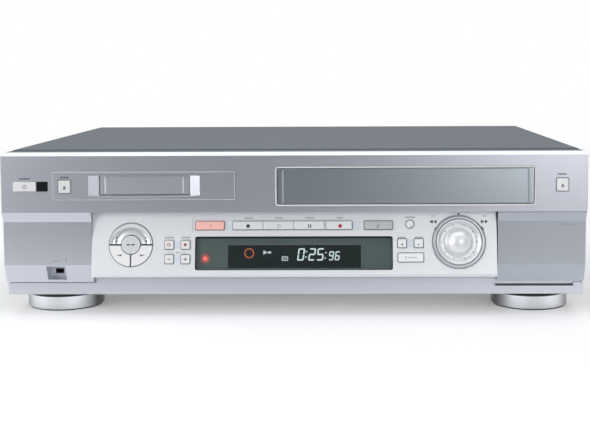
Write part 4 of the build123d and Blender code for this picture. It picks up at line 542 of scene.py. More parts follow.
# Black plastic, also used for a black ring of painted shade in the jog dial's gap.
BLACK = Moulded("case_black_plastic_and_painted_shade", (0.022, 0.022, 0.024), 0.5)
GLOSS_BLACK = Moulded("gloss_black_plastic", (0.012, 0.013, 0.014), 0.16, 900.0, 5.0)
MASK = Moulded("window_mask_green", (0.26, 0.35, 0.33), 0.6, 1500.0, 10.0, 0.2)
TUBE = Moulded("display_tube_black", (0.010, 0.012, 0.013), 0.3, 2500.0, 5.0, 0.2)
RUBBER = Moulded("pad_rubber", (0.018, 0.018, 0.018), 0.8, 1200.0, 80.0, 0.25)
KEY_SILVER = key_paint("key_satin_silver", (0.93, 0.94, 0.95), 0.34, 0.2)
KEY_WHITE = key_paint("key_pearl_white", (0.91, 0.92, 0.93), 0.34, 0.1, 0.5)
KEY_GREY = key_paint("key_satin_grey", (0.58, 0.60, 0.63), 0.36, 0.15)
KEY_LIT = Moulded("key_lit_pink", (0.86, 0.55, 0.50), 0.35, 1500.0, 10.0, edge=0.8,
                  glow=(0.16, 0.05, 0.04))
INK = ink("print_grey_ink", (0.10, 0.105, 0.12))
# Faint print ink, also used for grey discs of painted shade in the dial's dimples.
FAINT_INK_AND_SHADE = ink("print_faint_ink_and_painted_shade", (0.36, 0.37, 0.39))
WHITE_INK = ink("print_white_ink", (0.75, 0.76, 0.76))
# Dark print ink, also used for dark crosses of painted shade on the screw heads.
DARK_INK_AND_SHADE = ink("print_dark_ink_and_painted_shade", (0.035, 0.035, 0.04), 0.55)
RED_INK = ink("print_red_ink", (0.50, 0.03, 0.05), 0.5)
# Dark grey of painted shade, laid in the gaps round the keys, the wheel, the dial and the jack door.
GAP_PAINTED_SHADE = ink("key_gap_painted_shade", (0.09, 0.095, 0.105), 0.6, 2500.0)
PALE_BLUE = ink("plate_pale_blue", (0.72, 0.775, 0.84), 0.45, 2500.0, 0.4)
NICKEL = Plated("socket_nickel_plate", (0.74, 0.73, 0.70), 0.14)
STEEL = SheetSteel("zinc_plated_steel", (0.60, 0.61, 0.60))
RATING_FOIL = SheetSteel("rating_plate_foil", (0.70, 0.71, 0.72), 0.4)
BOARD = CircuitBoard("board_solder_mask", (0.015, 0.085, 0.035), (0.10, 0.30, 0.14))
# Dark solder mask of the front board, made this dark also as painted shade for what shows through the gaps
# round the keys and the wheel.
FRONT_BOARD_MASK_AND_SHADE = CircuitBoard("front_board_dark_mask_and_painted_shade", (0.010, 0.012, 0.012), (0.030, 0.035, 0.032))
GLASS = SmokedGlass("window_smoked_plastic", (0.045, 0.062, 0.06), 0.26)
DIGIT = Glow("display_digit_light", (0.80, 1.0, 0.97), 1.5)
ICON_WHITE = Glow("display_icon_light", (0.85, 0.95, 0.95), 1.2)
ICON_ORANGE = Glow("display_ring_light", (1.0, 0.24, 0.07), 0.8)
LAMP_RED = Glow("lamp_red_light", (1.0, 0.10, 0.09), 1.3, (0.3, 0.02, 0.02))
# Unlit lamps that still glow faintly: painted light.
LAMP_OFF_PAINTED_GLOW = Glow("lamp_unlit_painted_glow", (0.16, 0.22, 0.21), 0.6, (0.12, 0.15, 0.15))
SOCKETS = {word: Moulded(f"socket_{word}_plastic", colour, 0.4) for word, colour in (
    ("yellow", (0.80, 0.60, 0.03)), ("white", (0.80, 0.80, 0.78)), ("red", (0.60, 0.03, 0.03)))}


# Places; lengths are millimetres

@dataclass(frozen=True)
class Surface:
    """A flat face of the recorder."""

    origin: Vector
    right: Vector
    up: Vector

    @property
    def out(self) -> Vector:
        """Direction that the face looks in."""
        return self.right.cross(self.up)

    def at(self, x: float, s: float, n: float = 0.0) -> Vector:
        """The point x to the right, s up and n out of the face, in metres of the shared frame."""
        return self.origin + (self.right * x + self.up * s + self.out * n) * MM


@dataclass(frozen=True)
class Places:
    """The recorder's flat faces."""

    front: Surface
    plate: Surface
    rear: Surface

    @staticmethod
    def read(plate_y: float = 3.7, plate_z: float = 57.8, run: float = 9.4,
             rise: float = 48.6) -> "Places":
        """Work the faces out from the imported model.

        Args:
            plate_y: how far behind the front face the control plate's middle lies.
            plate_z: height of its middle.
            run: how far back it goes.
            rise: the height over which it does.

        Returns:
            The faces.
        """
        face_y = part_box("front_panel")[0].y
        lean = atan(run / rise)
        right, up = Vector((1, 0, 0)), Vector((0, 0, 1))
        middle = Vector((0, face_y + plate_y * MM, plate_z * MM))
        return Places(Surface(Vector((0, face_y, 0)), right, up),
                      Surface(middle, right, Vector((0, sin(lean), cos(lean)))),
                      Surface(Vector((0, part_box("rear_panel")[1].y, 0)), -right, up))


# Outlines, anticlockwise

def moved(points: Outline, x: float, s: float, turn: float = 0.0) -> list[Point]:
    """An outline turned about the origin and then moved."""
    return [(x + a * cos(turn) - b * sin(turn), s + a * sin(turn) + b * cos(turn)) for a, b in points]


def circle(r: float, steps: int, x: float = 0.0, s: float = 0.0, start: float = 0.0,
           sweep: float = TURN) -> list[Point]:
    """Points of a circle, or of an arc.

    Args:
        r: radius.
        steps: sections in the sweep.
        x: its middle.
        s: its middle, up the face.
        start: angle of the first point.
        sweep: the angle swept.

    Returns:
        The points.
    """
    count = steps if sweep == TURN else steps + 1
    angles = [start + sweep * k / steps for k in range(count)]
    return [(x + r * cos(a), s + r * sin(a)) for a in angles]


def rounded(x: float, s: float, w: float, h: float, r: float, steps: int = 6) -> list[Point]:
    """Outline of a rectangle with round corners.

    Args:
        x: its middle.
        s: its middle, up the face.
        w: width.
        h: height.
        r: corner radius.
        steps: sections in each corner.

    Returns:
        The outline.
    """
    a, b = w / 2 - r, h / 2 - r
    corners_at = ((a, b), (-a, b), (-a, -b), (a, -b))
    return [point for k, (cx, cs) in enumerate(corners_at)
            for point in circle(r, steps, x + cx, s + cs, k * pi / 2, pi / 2)]


def bar(w: float, h: float, x: float = 0.0, s: float = 0.0, turn: float = 0.0) -> list[Point]:
    """A plain bar."""
    return moved([(-w / 2, -h / 2), (w / 2, -h / 2), (w / 2, h / 2), (-w / 2, h / 2)], x, s, turn)


def arrow(size: float, way: Way, x: float = 0.0, s: float = 0.0) -> list[Point]:
    """A plain triangle that points one way."""
    back, side = -size * 0.5, size * 0.58
    return moved([(back, -side), (-back, 0.0), (back, side)], x, s, way.value)


def label(x: float, s: float, w: float, h: float = 1.25, pitch: float = 1.25) -> list[list[Point]]:
    """A row of short bars where a label stands.

    Args:
        x: the row's middle.
        s: its height on the face.
        w: its whole width.
        h: the bars' height.
        pitch: about how far apart the bars are.

    Returns:
        One outline for each bar.
    """
    count = max(3, round(w / pitch))
    step = w / count
    return [bar(step * 0.68, h, x - w / 2 + (k + 0.5) * step, s) for k in range(count)]


def ring(r: float, inner_r: float, steps: int, x: float, s: float) -> Ring:
    """Outer and inner outline of a round ring."""
    return circle(r, steps, x, s), circle(inner_r, steps, x, s)


def border(x: float, s: float, w: float, h: float, line: float, r: float, inner_r: float,
           steps: int = 6) -> Ring:
    """Outlines of a border with round corners: w by h outside, and line wide."""
    return rounded(x, s, w, h, r, steps), rounded(x, s, w - 2 * line, h - 2 * line, inner_r, steps)


def spread(x0: float, x1: float, s0: float, s1: float) -> Patch:
    """Middle, width and height of the patch between these limits."""
    return (x0 + x1) / 2, (s0 + s1) / 2, x1 - x0, s1 - s0


# Meshes

class Form:
    """Gathers closed forms into one mesh piece."""

    def __init__(self) -> None:
        """Start with nothing."""
        self.mesh = bmesh.new()

    def _loop(self, face: Surface, outline: Outline, n: float) -> list[bmesh.types.BMVert]:
        """Add the points of an outline, some way out of a face."""
        return [self.mesh.verts.new(face.at(x, s, n)) for x, s in outline]

    def _wall(self, low: Sequence[bmesh.types.BMVert], high: Sequence[bmesh.types.BMVert]) -> None:
        """Join two loops of the same length with faces that look outwards."""
        for i in range(len(low)):
            k = (i + 1) % len(low)
            self.mesh.faces.new((low[i], low[k], high[k], high[i]))

    def prism(self, face: Surface, outline: Outline, n0: float, n1: float, ease: float = 0.0) -> "Form":
        """A prism square to a face.

        Args:
            face: the face that it stands on.
            outline: its outline.
            n0: its foot's distance out of the face.
            n1: its top's distance out of the face.
            ease: how far its top edge is drawn in and down.

        Returns:
            This form.
        """
        low = self._loop(face, outline, n0)
        self.mesh.faces.new(list(reversed(low)))
        if ease:
            wall = self._loop(face, outline, n1 - ease)
            self._wall(low, wall)
            mx, ms = (sum(p[k] for p in outline) / len(outline) for k in (0, 1))
            share = 1 - ease / max(max(abs(x - mx), abs(s - ms)) for x, s in outline)
            low, outline = wall, [(mx + (x - mx) * share, ms + (s - ms) * share) for x, s in outline]
        top = self._loop(face, outline, n1)
        self._wall(low, top)
        self.mesh.faces.new(top)
        return self

    def frame(self, face: Surface, outlines: Ring, n0: float, n1: float) -> "Form":
        """A flat ring between two outlines of the same number of points."""
        out_low, out_high, in_low, in_high = (self._loop(face, line, n) for line in outlines
                                              for n in (n0, n1))
        for low, high in ((out_low, out_high), (in_high, in_low), (out_high, in_high), (in_low, out_low)):
            self._wall(low, high)
        return self

    def flats(self, face: Surface, outlines: Outlines = (), n: float = 0.0, thick: float = PRINT_THICK,
              rings: Rings = ()) -> "Form":
        """Flat shapes of one thickness on a face.

        Args:
            face: the face.
            outlines: outlines of full shapes.
            n: how far out of the face they start.
            thick: their thickness.
            rings: outer and inner outlines of hollow shapes.

        Returns:
            This form.
        """
        for outline in outlines:
            self.prism(face, outline, n, n + thick)
        for pair in rings:
            self.frame(face, pair, n, n + thick)
        return self

    def turned(self, face: Surface, x: float, s: float, profile: Outline, steps: int = 40) -> "Form":
        """A closed profile turned about an axis square to a face.

        Args:
            face: the face.
            x: the axis's place to the right.
            s: the axis's place up the face.
            profile: radius and height points, anticlockwise with the radius to the right.
            steps: sections in the turn.

        Returns:
            This form.
        """
        loops = [[self.mesh.verts.new(face.at(x + r * a, s + r * b, n)) for r, n in profile]
                 for a, b in circle(1.0, steps)]
        for here, there in zip(loops, loops[1:] + loops[:1]):
            self._wall(there, here)
        return self

    def piece(self, name: str, finish: Finish, slot: Slot = Slot.BLACK, body: str = HOUSING) -> None:
        """Close the form as one object that rides on a body.

        Args:
            name: the piece's name.
            finish: its finish.
            slot: not used.
            body: the body that it moves with.
        """
        bmesh.ops.recalc_face_normals(self.mesh, faces=self.mesh.faces)
        data = bpy.data.meshes.new(name)
        self.mesh.to_mesh(data)
        self.mesh.free()
        data.shade_smooth()
        data.set_sharp_from_angle(angle=SHARP_EDGE)
        data.materials.append(finish.material())
        made = bpy.data.objects.new(name, data)
        bpy.context.scene.collection.objects.link(made)
        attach(made, body)
        log.info("piece %s on %s, %d faces", name, body, len(data.polygons))


@dataclass
class Digits:
    """Slanted seven-segment figures."""

    w: float
    h: float
    t: float
    slant: float = 0.14
    lit: tuple[str, ...] = ("abcdef", "bc", "abged", "abgcd", "fgbc", "afgcd", "afgedc", "abc", "abcdefg",
                            "abcdfg")

    def _segment(self, letter: str) -> list[Point]:
        """Outline of one segment of an upright figure about its middle."""
        a, b, t = self.w / 2, self.h / 2, self.t / 2
        gap, tip = t * 0.35, t * 0.6
        level = {"a": b - t, "g": 0.0, "d": t - b}
        if letter in level:
            s, e = level[letter], a - t - gap
            return [(-e - tip, s), (-e, s - t), (e, s - t), (e + tip, s), (e, s + t), (-e, s + t)]
        x = a - t if letter in "bc" else t - a
        low, high = gap + t * 0.5, b - t - gap
        if letter in "ce":
            low, high = -high, -low
        return [(x, low - tip), (x + t, low), (x + t, high), (x, high + tip), (x - t, high), (x - t, low)]

    def outlines(self, digit: int, x: float, s: float) -> list[list[Point]]:
        """Outlines of the lit segments of one figure, 0 to 9, about its middle."""
        return [[(x + a + b * self.slant, s + b) for a, b in self._segment(letter)]
                for letter in self.lit[digit]]


# Sub-assemblies; lengths are millimetres unless they say otherwise

WHEEL_AT: Point = (-127.4, -1.324)
DIAL_AT: Point = (128.6, 0.407)
POWER_AT: Point = (-209.0, 102.6)
MINI_EJECT_AT: Point = (-177.65, 102.7)
TAPE_EJECT_AT: Point = (207.9, 103.3)
SURROUND_N = 0.8
CHANNEL_DOWN_X, CHANNEL_UP_X = -97.3, -84.6
CHANNEL_S = -12.6


@dataclass
class Assembly:
    """What every sub-assembly works on: the frame's nodes and the recorder's faces."""

    nodes: dict[str, bpy.types.Object]
    places: Places

    def build(self) -> None:
        """Dress nodes and add pieces."""
        raise NotImplementedError

    def dress(self, finish: Finish, *names: str) -> None:
        """Give CAD nodes a finish.

        Args:
            finish: the finish.
            names: the nodes that get it.
        """
        material = finish.material()
        for name in names:
            for item in self.nodes[name].material_slots:
                item.material = material
            if not self.nodes[name].material_slots:
                self.nodes[name].data.materials.append(material)
            log.info("node %s has %s", name, finish.name)


@dataclass
class Cover(Assembly):
    """Folded steel cover, its screws, and dark crosses of painted shade where their driver recesses are."""

    recess: float = 3.4
    recess_w: float = 0.75
    flat: float = 0.3 * MM
    reach: float = 12.0 * MM

    def build(self) -> None:
        """Dress the cover and the screws, then add dark crosses of painted shade for the driver recesses."""
        self.dress(COVER, "top_cover")
        self.dress(STEEL, "screws")
        low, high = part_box("screws")
        end, half = self.recess / 2, self.recess_w / 2
        arm = [(half, -half), (end, -half), (end, half)]
        cross = [point for k in range(4) for point in moved(arm, 0, 0, k * pi / 2)]
        form = Form()
        for axis, limit in (((1, 0, 0), high.x), ((-1, 0, 0), -low.x), ((0, 1, 0), high.y)):
            for face in self._heads(Vector(axis), limit - self.flat):
                form.prism(face, cross, -0.5, 0.02)
        # Dark crosses of painted shade stand for the shade inside the driver recesses.
        form.piece("screw_recess_painted_shades", DARK_INK_AND_SHADE, Slot.ZINC)

    def _heads(self, axis: Vector, limit: float) -> list[Surface]:
        """Flat faces of the screw heads that look one way.

        Args:
            axis: the way that they look.
            limit: how far out the heads' own points start, in metres.

        Returns:
            One face for each head, with its origin in the middle.
        """
        faces = []
        up = Vector((0, 0, 1))
        points = [v.co for v in self.nodes["screws"].data.vertices if v.co.dot(axis) > limit]
        while points:
            near = [p for p in points if (p - points[0]).length < self.reach]
            points = [p for p in points if (p - points[0]).length >= self.reach]
            faces.append(Surface(sum(near, Vector()) / len(near), up.cross(axis), up))
        return faces


@dataclass
class FrontMoulding(Assembly):
    """Front moulding, chin bar, surround, trim and the marks printed on them."""

    surround: Patch = (-187.0, -45.3, 92.2, 114.1)
    highlight_line: float = 0.32
    # Strips of painted shade, each a patch and its depths: one in the jack door's top gap, one in its finger
    # slot.
    door_gap_shade: Patch = (159.2, 227.0, 81.95, 82.25)
    door_gap_shade_n: Point = (-3.0, -0.3)
    slot_shade: Patch = (158.4, 219.3, 21.85, 23.3)
    slot_shade_n: Point = (-14.68, -14.4)

    def build(self) -> None:
        """Dress the mouldings, print the marks, then add a bright line of painted highlight round the
        surround and strips of painted shade in the jack door's gaps.
        """
        self.dress(SILVER, "front_panel", "base_trim", "mini_surround")
        self.dress(JACK_DOOR, "jack_door")
        self.dress(TRIM, "tape_door_trim")
        self.dress(GLOSS_BLACK, "sensor_window")
        front, top = self.places.front, SURROUND_N
        marks = label(-209.0, 108.9, 8.6) + label(207.6, 111.4, 6.8)
        Form().flats(front, marks).piece("face_label_bars", INK)
        Form().flats(front, label(-177.6, 110.0, 6.8), top).piece("surround_label_bars", INK)
        # A bright line of painted highlight round the surround's edge.
        highlight_line = border(*spread(*self.surround), self.highlight_line, 0.4, 0.3, 3)
        Form().frame(front, highlight_line, top, top + 0.08).piece("surround_painted_highlight", TRIM, Slot.TRIM)
        # Dark strips of painted shade in the jack door's top gap and finger slot.
        form = Form()
        for patch, depths in ((self.door_gap_shade, self.door_gap_shade_n), (self.slot_shade, self.slot_shade_n)):
            x, z, w, h = spread(*patch)
            form.prism(front, bar(w, h, x, z), *depths)
        form.piece("jack_door_painted_shades", GAP_PAINTED_SHADE)


@dataclass
class CassetteDoors(Assembly):
    """Both cassette doors."""

    def build(self) -> None:
        """Dress the doors."""
        self.dress(DOOR, "tape_door")
        self.dress(MINI_DOOR, "mini_tape_door")


@dataclass
class Keys(Assembly):
    """Push buttons and the plain marks on their caps."""

    proud: float = 1.2
    eject_proud: float = 0.9
    row_s: float = 13.0

    def build(self) -> None:
        """Dress the buttons and print their marks."""
        silver = ("power", "mini_eject", "tape_eject", "stop", "play", "pause", "record", "insert",
                  "audio_dub", "channel_down", "channel_up", "edit", "start", "in_out", "mode")
        self.dress(KEY_SILVER, *(f"{key}_button" for key in silver))
        self.dress(KEY_LIT, "mini_select_button")
        self.dress(KEY_GREY, "tape_select_button")
        self._transport_marks()
        self._square_marks()
        self._mark("mode", DARK_INK_AND_SHADE, [circle(0.45, 20, 91.3, 12.6)])
        self._face_marks()

    def _mark(self, key: str, finish: Finish, outlines: Outlines = (), rings: Rings = ()) -> None:
        """Print full and hollow shapes on one plate button, named without its ending."""
        form = Form().flats(self.places.plate, outlines, self.proud, rings=rings)
        form.piece(f"{key}_mark", finish, body=f"{key}_button")

    def _transport_marks(self) -> None:
        """Print the row of transport keys and the figures on the keys that choose a tape."""
        s = self.row_s
        self._mark("stop", DARK_INK_AND_SHADE, [bar(2.5, 2.5, -35.7, s)])
        hollow = arrow(2.9, Way.RIGHT, -11.2, s), arrow(1.9, Way.RIGHT, -11.35, s)
        self._mark("play", FAINT_INK_AND_SHADE, rings=[hollow])
        self._mark("pause", DARK_INK_AND_SHADE, [bar(0.8, 2.6, x, s) for x in (11.6, 13.2)])
        self._mark("record", RED_INK, [circle(1.45, 28, 36.2, s)])
        for key, digit, x, finish in (("mini_select", 1, -65.7, RED_INK), ("tape_select", 2, 65.9, INK)):
            self._mark(key, finish, Digits(1.7, 3.0, 0.42, 0.12).outlines(digit, x, s))

    def _square_marks(self) -> None:
        """Print ring, dot, minus, plus, triangle and bars on the square keys."""
        arm = [(0.3, 0.3), (0.3, 1.2), (-0.3, 1.2)]
        plus = [point for k in range(4) for point in moved(arm, CHANNEL_UP_X, CHANNEL_S, k * pi / 2)]
        self._mark("insert", RED_INK, rings=[ring(1.3, 0.8, 28, -97.5, -1.4)])
        self._mark("audio_dub", RED_INK, [circle(1.1, 20, -84.8, -1.4)])
        self._mark("channel_down", INK, [bar(2.4, 0.6, CHANNEL_DOWN_X, CHANNEL_S)])
        self._mark("channel_up", INK, [plus])
        self._mark("edit", FAINT_INK_AND_SHADE, [circle(0.9, 24, 84.4, -1.6)])
        self._mark("start", FAINT_INK_AND_SHADE, [arrow(1.7, Way.RIGHT, 97.4, -1.6)])
        posts = [bar(0.5, 2.2, x, -11.6) for x in (87.2, 95.0)]
        self._mark("in_out", FAINT_INK_AND_SHADE, [*posts, bar(5.2, 0.5, 91.1, -11.6)])

    def _face_marks(self) -> None:
        """Print the eject marks and the power mark on the buttons of the upper face."""
        front, top = self.places.front, self.eject_proud
        for key, (x, z), n in (("mini_eject", MINI_EJECT_AT, SURROUND_N), ("tape_eject", TAPE_EJECT_AT, 0.0)):
            form = Form().flats(front, [arrow(2.0, Way.UP, x, z - 0.2), bar(2.3, 0.45, x, z - 1.9)], n + top)
            form.piece(f"{key}_mark", DARK_INK_AND_SHADE, body=f"{key}_button")
        (x, z), gap = POWER_AT, 0.6
        outer, inner = (circle(r, 30, x, z, pi / 2 + gap, TURN - 2 * gap) for r in (1.5, 1.1))
        form = Form().flats(front, [[*outer, *reversed(inner)], bar(0.45, 1.7, x, z + 1.1)], top)
        form.piece("power_mark", INK, body="power_button")


@dataclass
class ControlPlate(Assembly):
    """Inclined control plate and what is printed on it."""

    def build(self) -> None:
        """Dress the plate and print its marks."""
        self.dress(PLATE, "control_panel")
        rows = ((-35.4, 19.3, 6.4), (-11.7, 19.3, 6.0), (12.3, 19.3, 7.2), (35.9, 19.3, 4.8),
                (90.9, 19.6, 7.6), (84.2, 4.0, 6.0), (97.4, 4.0, 6.4), (-97.5, 4.2, 7.4), (-84.6, 4.2, 6.6))
        self._print("plate_label_bars", FAINT_INK_AND_SHADE, [outline for row in rows for outline in label(*row)])
        self._print("dial_marks", INK, [
            *(arrow(2.7, Way.LEFT, x, 16.2) for x in (107.2, 110.2)),
            *(arrow(2.7, Way.RIGHT, x, 16.2) for x in (147.4, 150.4)),
            bar(0.9, 3.0, 110.6, 10.9, -0.7), bar(0.9, 3.0, 147.2, 11.1, 0.7),
            arrow(2.0, Way.DOWN, 128.7, 21.9)])
        strokes = [bar(0.7, 1.6, x, 20.6) for x in (108.0, 109.6, 148.2, 149.8)]
        self._print("dial_small_marks", FAINT_INK_AND_SHADE, strokes)
        line, s = 0.35, -7.6
        self._print("channel_bracket", FAINT_INK_AND_SHADE, [
            *(bar(4.4, line, x, s) for x in (-95.4, -86.4)),
            *(bar(line, 1.2, x, s - 0.5) for x in (-97.4, -84.4)),
            *(bar(0.9, 1.0, x, s) for x in (-91.6, -90.1))])

    def _print(self, name: str, finish: Finish, outlines: Outlines) -> None:
        """Print outlines flat on the plate."""
        Form().flats(self.places.plate, outlines).piece(name, finish)


@dataclass
class KeyGapShades(Assembly):
    """Painted shade: dark rings in the gaps round the keys, the wheel and the dial; and the pale fields
    between keys.
    """

    line: float = 0.4
    start: float = 0.2
    sunk: float = -0.5
    row: float = 13.55
    square: float = 6.6
    lever: float = 6.3
    eject: Point = (9.2, 9.8)

    def build(self) -> None:
        """Add the rings of painted gap shade on the plate and on the upper face, then the pale fields."""
        plate, front, square, lever = self.places.plate, self.places.front, self.square, self.lever
        rows = [self._gap_shade(x, self.row, w, lever) for x, w in ((-65.7, 22.0), (-1.1, 92.8), (65.9, 21.6))]
        keys = [self._gap_shade(x, s, square, square) for x, s in (
            (CHANNEL_DOWN_X, -1.43), (CHANNEL_UP_X, -1.43), (CHANNEL_DOWN_X, -12.63), (CHANNEL_UP_X, -12.63),
            (84.4, -0.51), (97.4, -0.51))]
        keys.append(self._gap_shade(91.1, -11.61, 19.6, square))
        for middle, r in (((90.6, 14.3), 3.0), (WHEEL_AT, 16.8), (DIAL_AT, 20.4)):
            keys.append(ring(r + self.start + self.line, r + self.start, 96, *middle))
        form = Form().flats(plate, n=self.sunk, rings=rows).flats(plate, rings=keys)
        form.piece("plate_key_gap_shades", GAP_PAINTED_SHADE)
        form = Form().flats(front, n=SURROUND_N, rings=[self._gap_shade(*MINI_EJECT_AT, *self.eject)])
        form.flats(front, rings=[self._gap_shade(*TAPE_EJECT_AT, *self.eject)]).piece("face_key_gap_shades", GAP_PAINTED_SHADE)
        fields = [bar(w, square - 1.0, x, s) for x, s, w in (
            (-90.95, -1.43, 4.6), (-90.95, -12.63, 4.6), (90.9, -0.51, 4.9))]
        row_fields = [bar(w, lever, x, self.row) for x, w in ((-51.1, 5.4), (49.4, 6.0))]
        form = Form().flats(plate, fields, thick=0.02).flats(plate, row_fields, self.sunk, 0.02)
        form.piece("plate_pale_fields", PALE_BLUE, Slot.PLATE)

    def _gap_shade(self, x: float, s: float, w: float, h: float) -> Ring:
        """The ring of painted gap shade round a key of this middle and size."""
        more = 2 * (self.start + self.line)
        return border(x, s, w + more, h + more, self.line, 0.9, 0.5, 3)


@dataclass
class DubWheel(Assembly):
    """Dubbing wheel: dished upper half, two lower quarters, domed centre, marks."""

    x: float = WHEEL_AT[0]
    s: float = WHEEL_AT[1]
    proud: float = 0.8
    centre_proud: float = 1.2
    dish: float = 1.31
    low_r: float = 11.62
    dish_arc: float = 6.24

    def build(self) -> None:
        """Dress the wheel and print its marks."""
        plate = self.places.plate
        centre, axis = tuple(plate.at(self.x, self.s)), tuple(plate.out)
        spun = Turned("wheel_spun_cap", (0.78, 0.79, 0.81), centre, axis, 0.4, 0.3, 10.0, 0.35)
        self.dress(KEY_WHITE, "dub_left_button", "dub_right_button")
        self.dress(spun, "dub_centre_button")
        self.dress(WHEEL_DISH, "dub_bezel")
        sides = ((-1, "left", Way.LEFT, Way.RIGHT), (1, "right", Way.RIGHT, Way.LEFT))
        form = Form()
        for side, _, _, inward in sides:
            form.prism(self._tangent(side * 11.6, 5.6), bar(3.0, 0.7), -0.3, 0.06)
            form.prism(self._tangent(side * 11.6, 3.0), arrow(1.9, inward), -0.3, 0.06)
        form.piece("dub_ring_marks", INK)
        middle = [bar(3.6, 0.6, self.x, self.s)]
        for side, word, outward, inward in sides:
            x, s, shift = self.x + side * 8.6, self.s - 8.2, side * 0.9
            marks = [arrow(1.7, inward, x - shift, s), bar(2.4, 0.55, x + shift, s)]
            form = Form().flats(plate, marks, self.proud)
            form.piece(f"dub_{word}_mark", INK, body=f"dub_{word}_button")
            middle.append(arrow(1.9, outward, self.x + side * 2.6, self.s))
        form = Form().flats(plate, middle, self.centre_proud)
        form.piece("dub_centre_mark", INK, body="dub_centre_button")

    def _tangent(self, dx: float, ds: float) -> Surface:
        """Plane that touches the dish.

        Args:
            dx: distance to the right of the wheel's axis.
            ds: distance above it.

        Returns:
            The plane, with its origin on the dish.
        """
        plate = self.places.plate
        away = (dx * dx + ds * ds) ** 0.5
        span = (away - self.low_r) / self.dish_arc
        height = self.dish_arc * (1 - (1 - span * span) ** 0.5) - self.dish
        out = plate.out - (plate.right * dx + plate.up * ds) / away * span
        right = (plate.right - out * plate.right.dot(out) / out.length_squared).normalized()
        return Surface(plate.at(self.x + dx, self.s + ds, height), right, out.normalized().cross(right))


@dataclass
class JogShuttle(Assembly):
    """Jog dial with its spun crown and the shuttle ring round it."""

    crown_r: float = 9.6
    dimples: int = 10
    dimple_circle: float = 13.6
    dimple_r: float = 0.62
    # How far out of the plate the grey discs of painted shade in the dimples start and end.
    floor: Point = (1.2, 1.84)
    gap: Patch = (17.66, 17.86, -2.2, 0.9)

    def build(self) -> None:
        """Dress the dial, with a paler crown of painted highlight, and the ring; fill the gap between them
        with a black ring of painted shade, and add grey discs of painted shade in the dimples.
        """
        plate = self.places.plate
        centre, axis = tuple(plate.at(*DIAL_AT)), tuple(plate.out)
        # Within crown_r the dial is painted paler: a painted highlight on its crown.
        self.dress(Turned("dial_spun_silver", (0.74, 0.76, 0.79), centre, axis, 0.42, 0.32, 10.0, 0.6,
                          self.crown_r, (0.88, 0.89, 0.91)), "jog_dial")
        self.dress(Turned("ring_spun_silver", (0.50, 0.515, 0.545), centre, axis, 0.5, 0.26, 10.0, 0.8),
                   "shuttle_ring")
        # A black ring of painted shade fills the gap between the dial and the ring.
        r, n, wide, high = spread(*self.gap)
        ring_gap_shade = Form().turned(plate, *DIAL_AT, bar(wide, high, r, n), 64)
        ring_gap_shade.piece("dial_gap_painted_shade", BLACK, body="shuttle_ring")
        # Grey discs of painted shade on the dimples' floors.
        form = Form()
        for x, s in circle(self.dimple_circle, self.dimples, *DIAL_AT):
            form.prism(plate, circle(self.dimple_r, 20, x, s), *self.floor)
        form.piece("dial_dimple_painted_shades", FAINT_INK_AND_SHADE, Slot.GREY, "jog_dial")


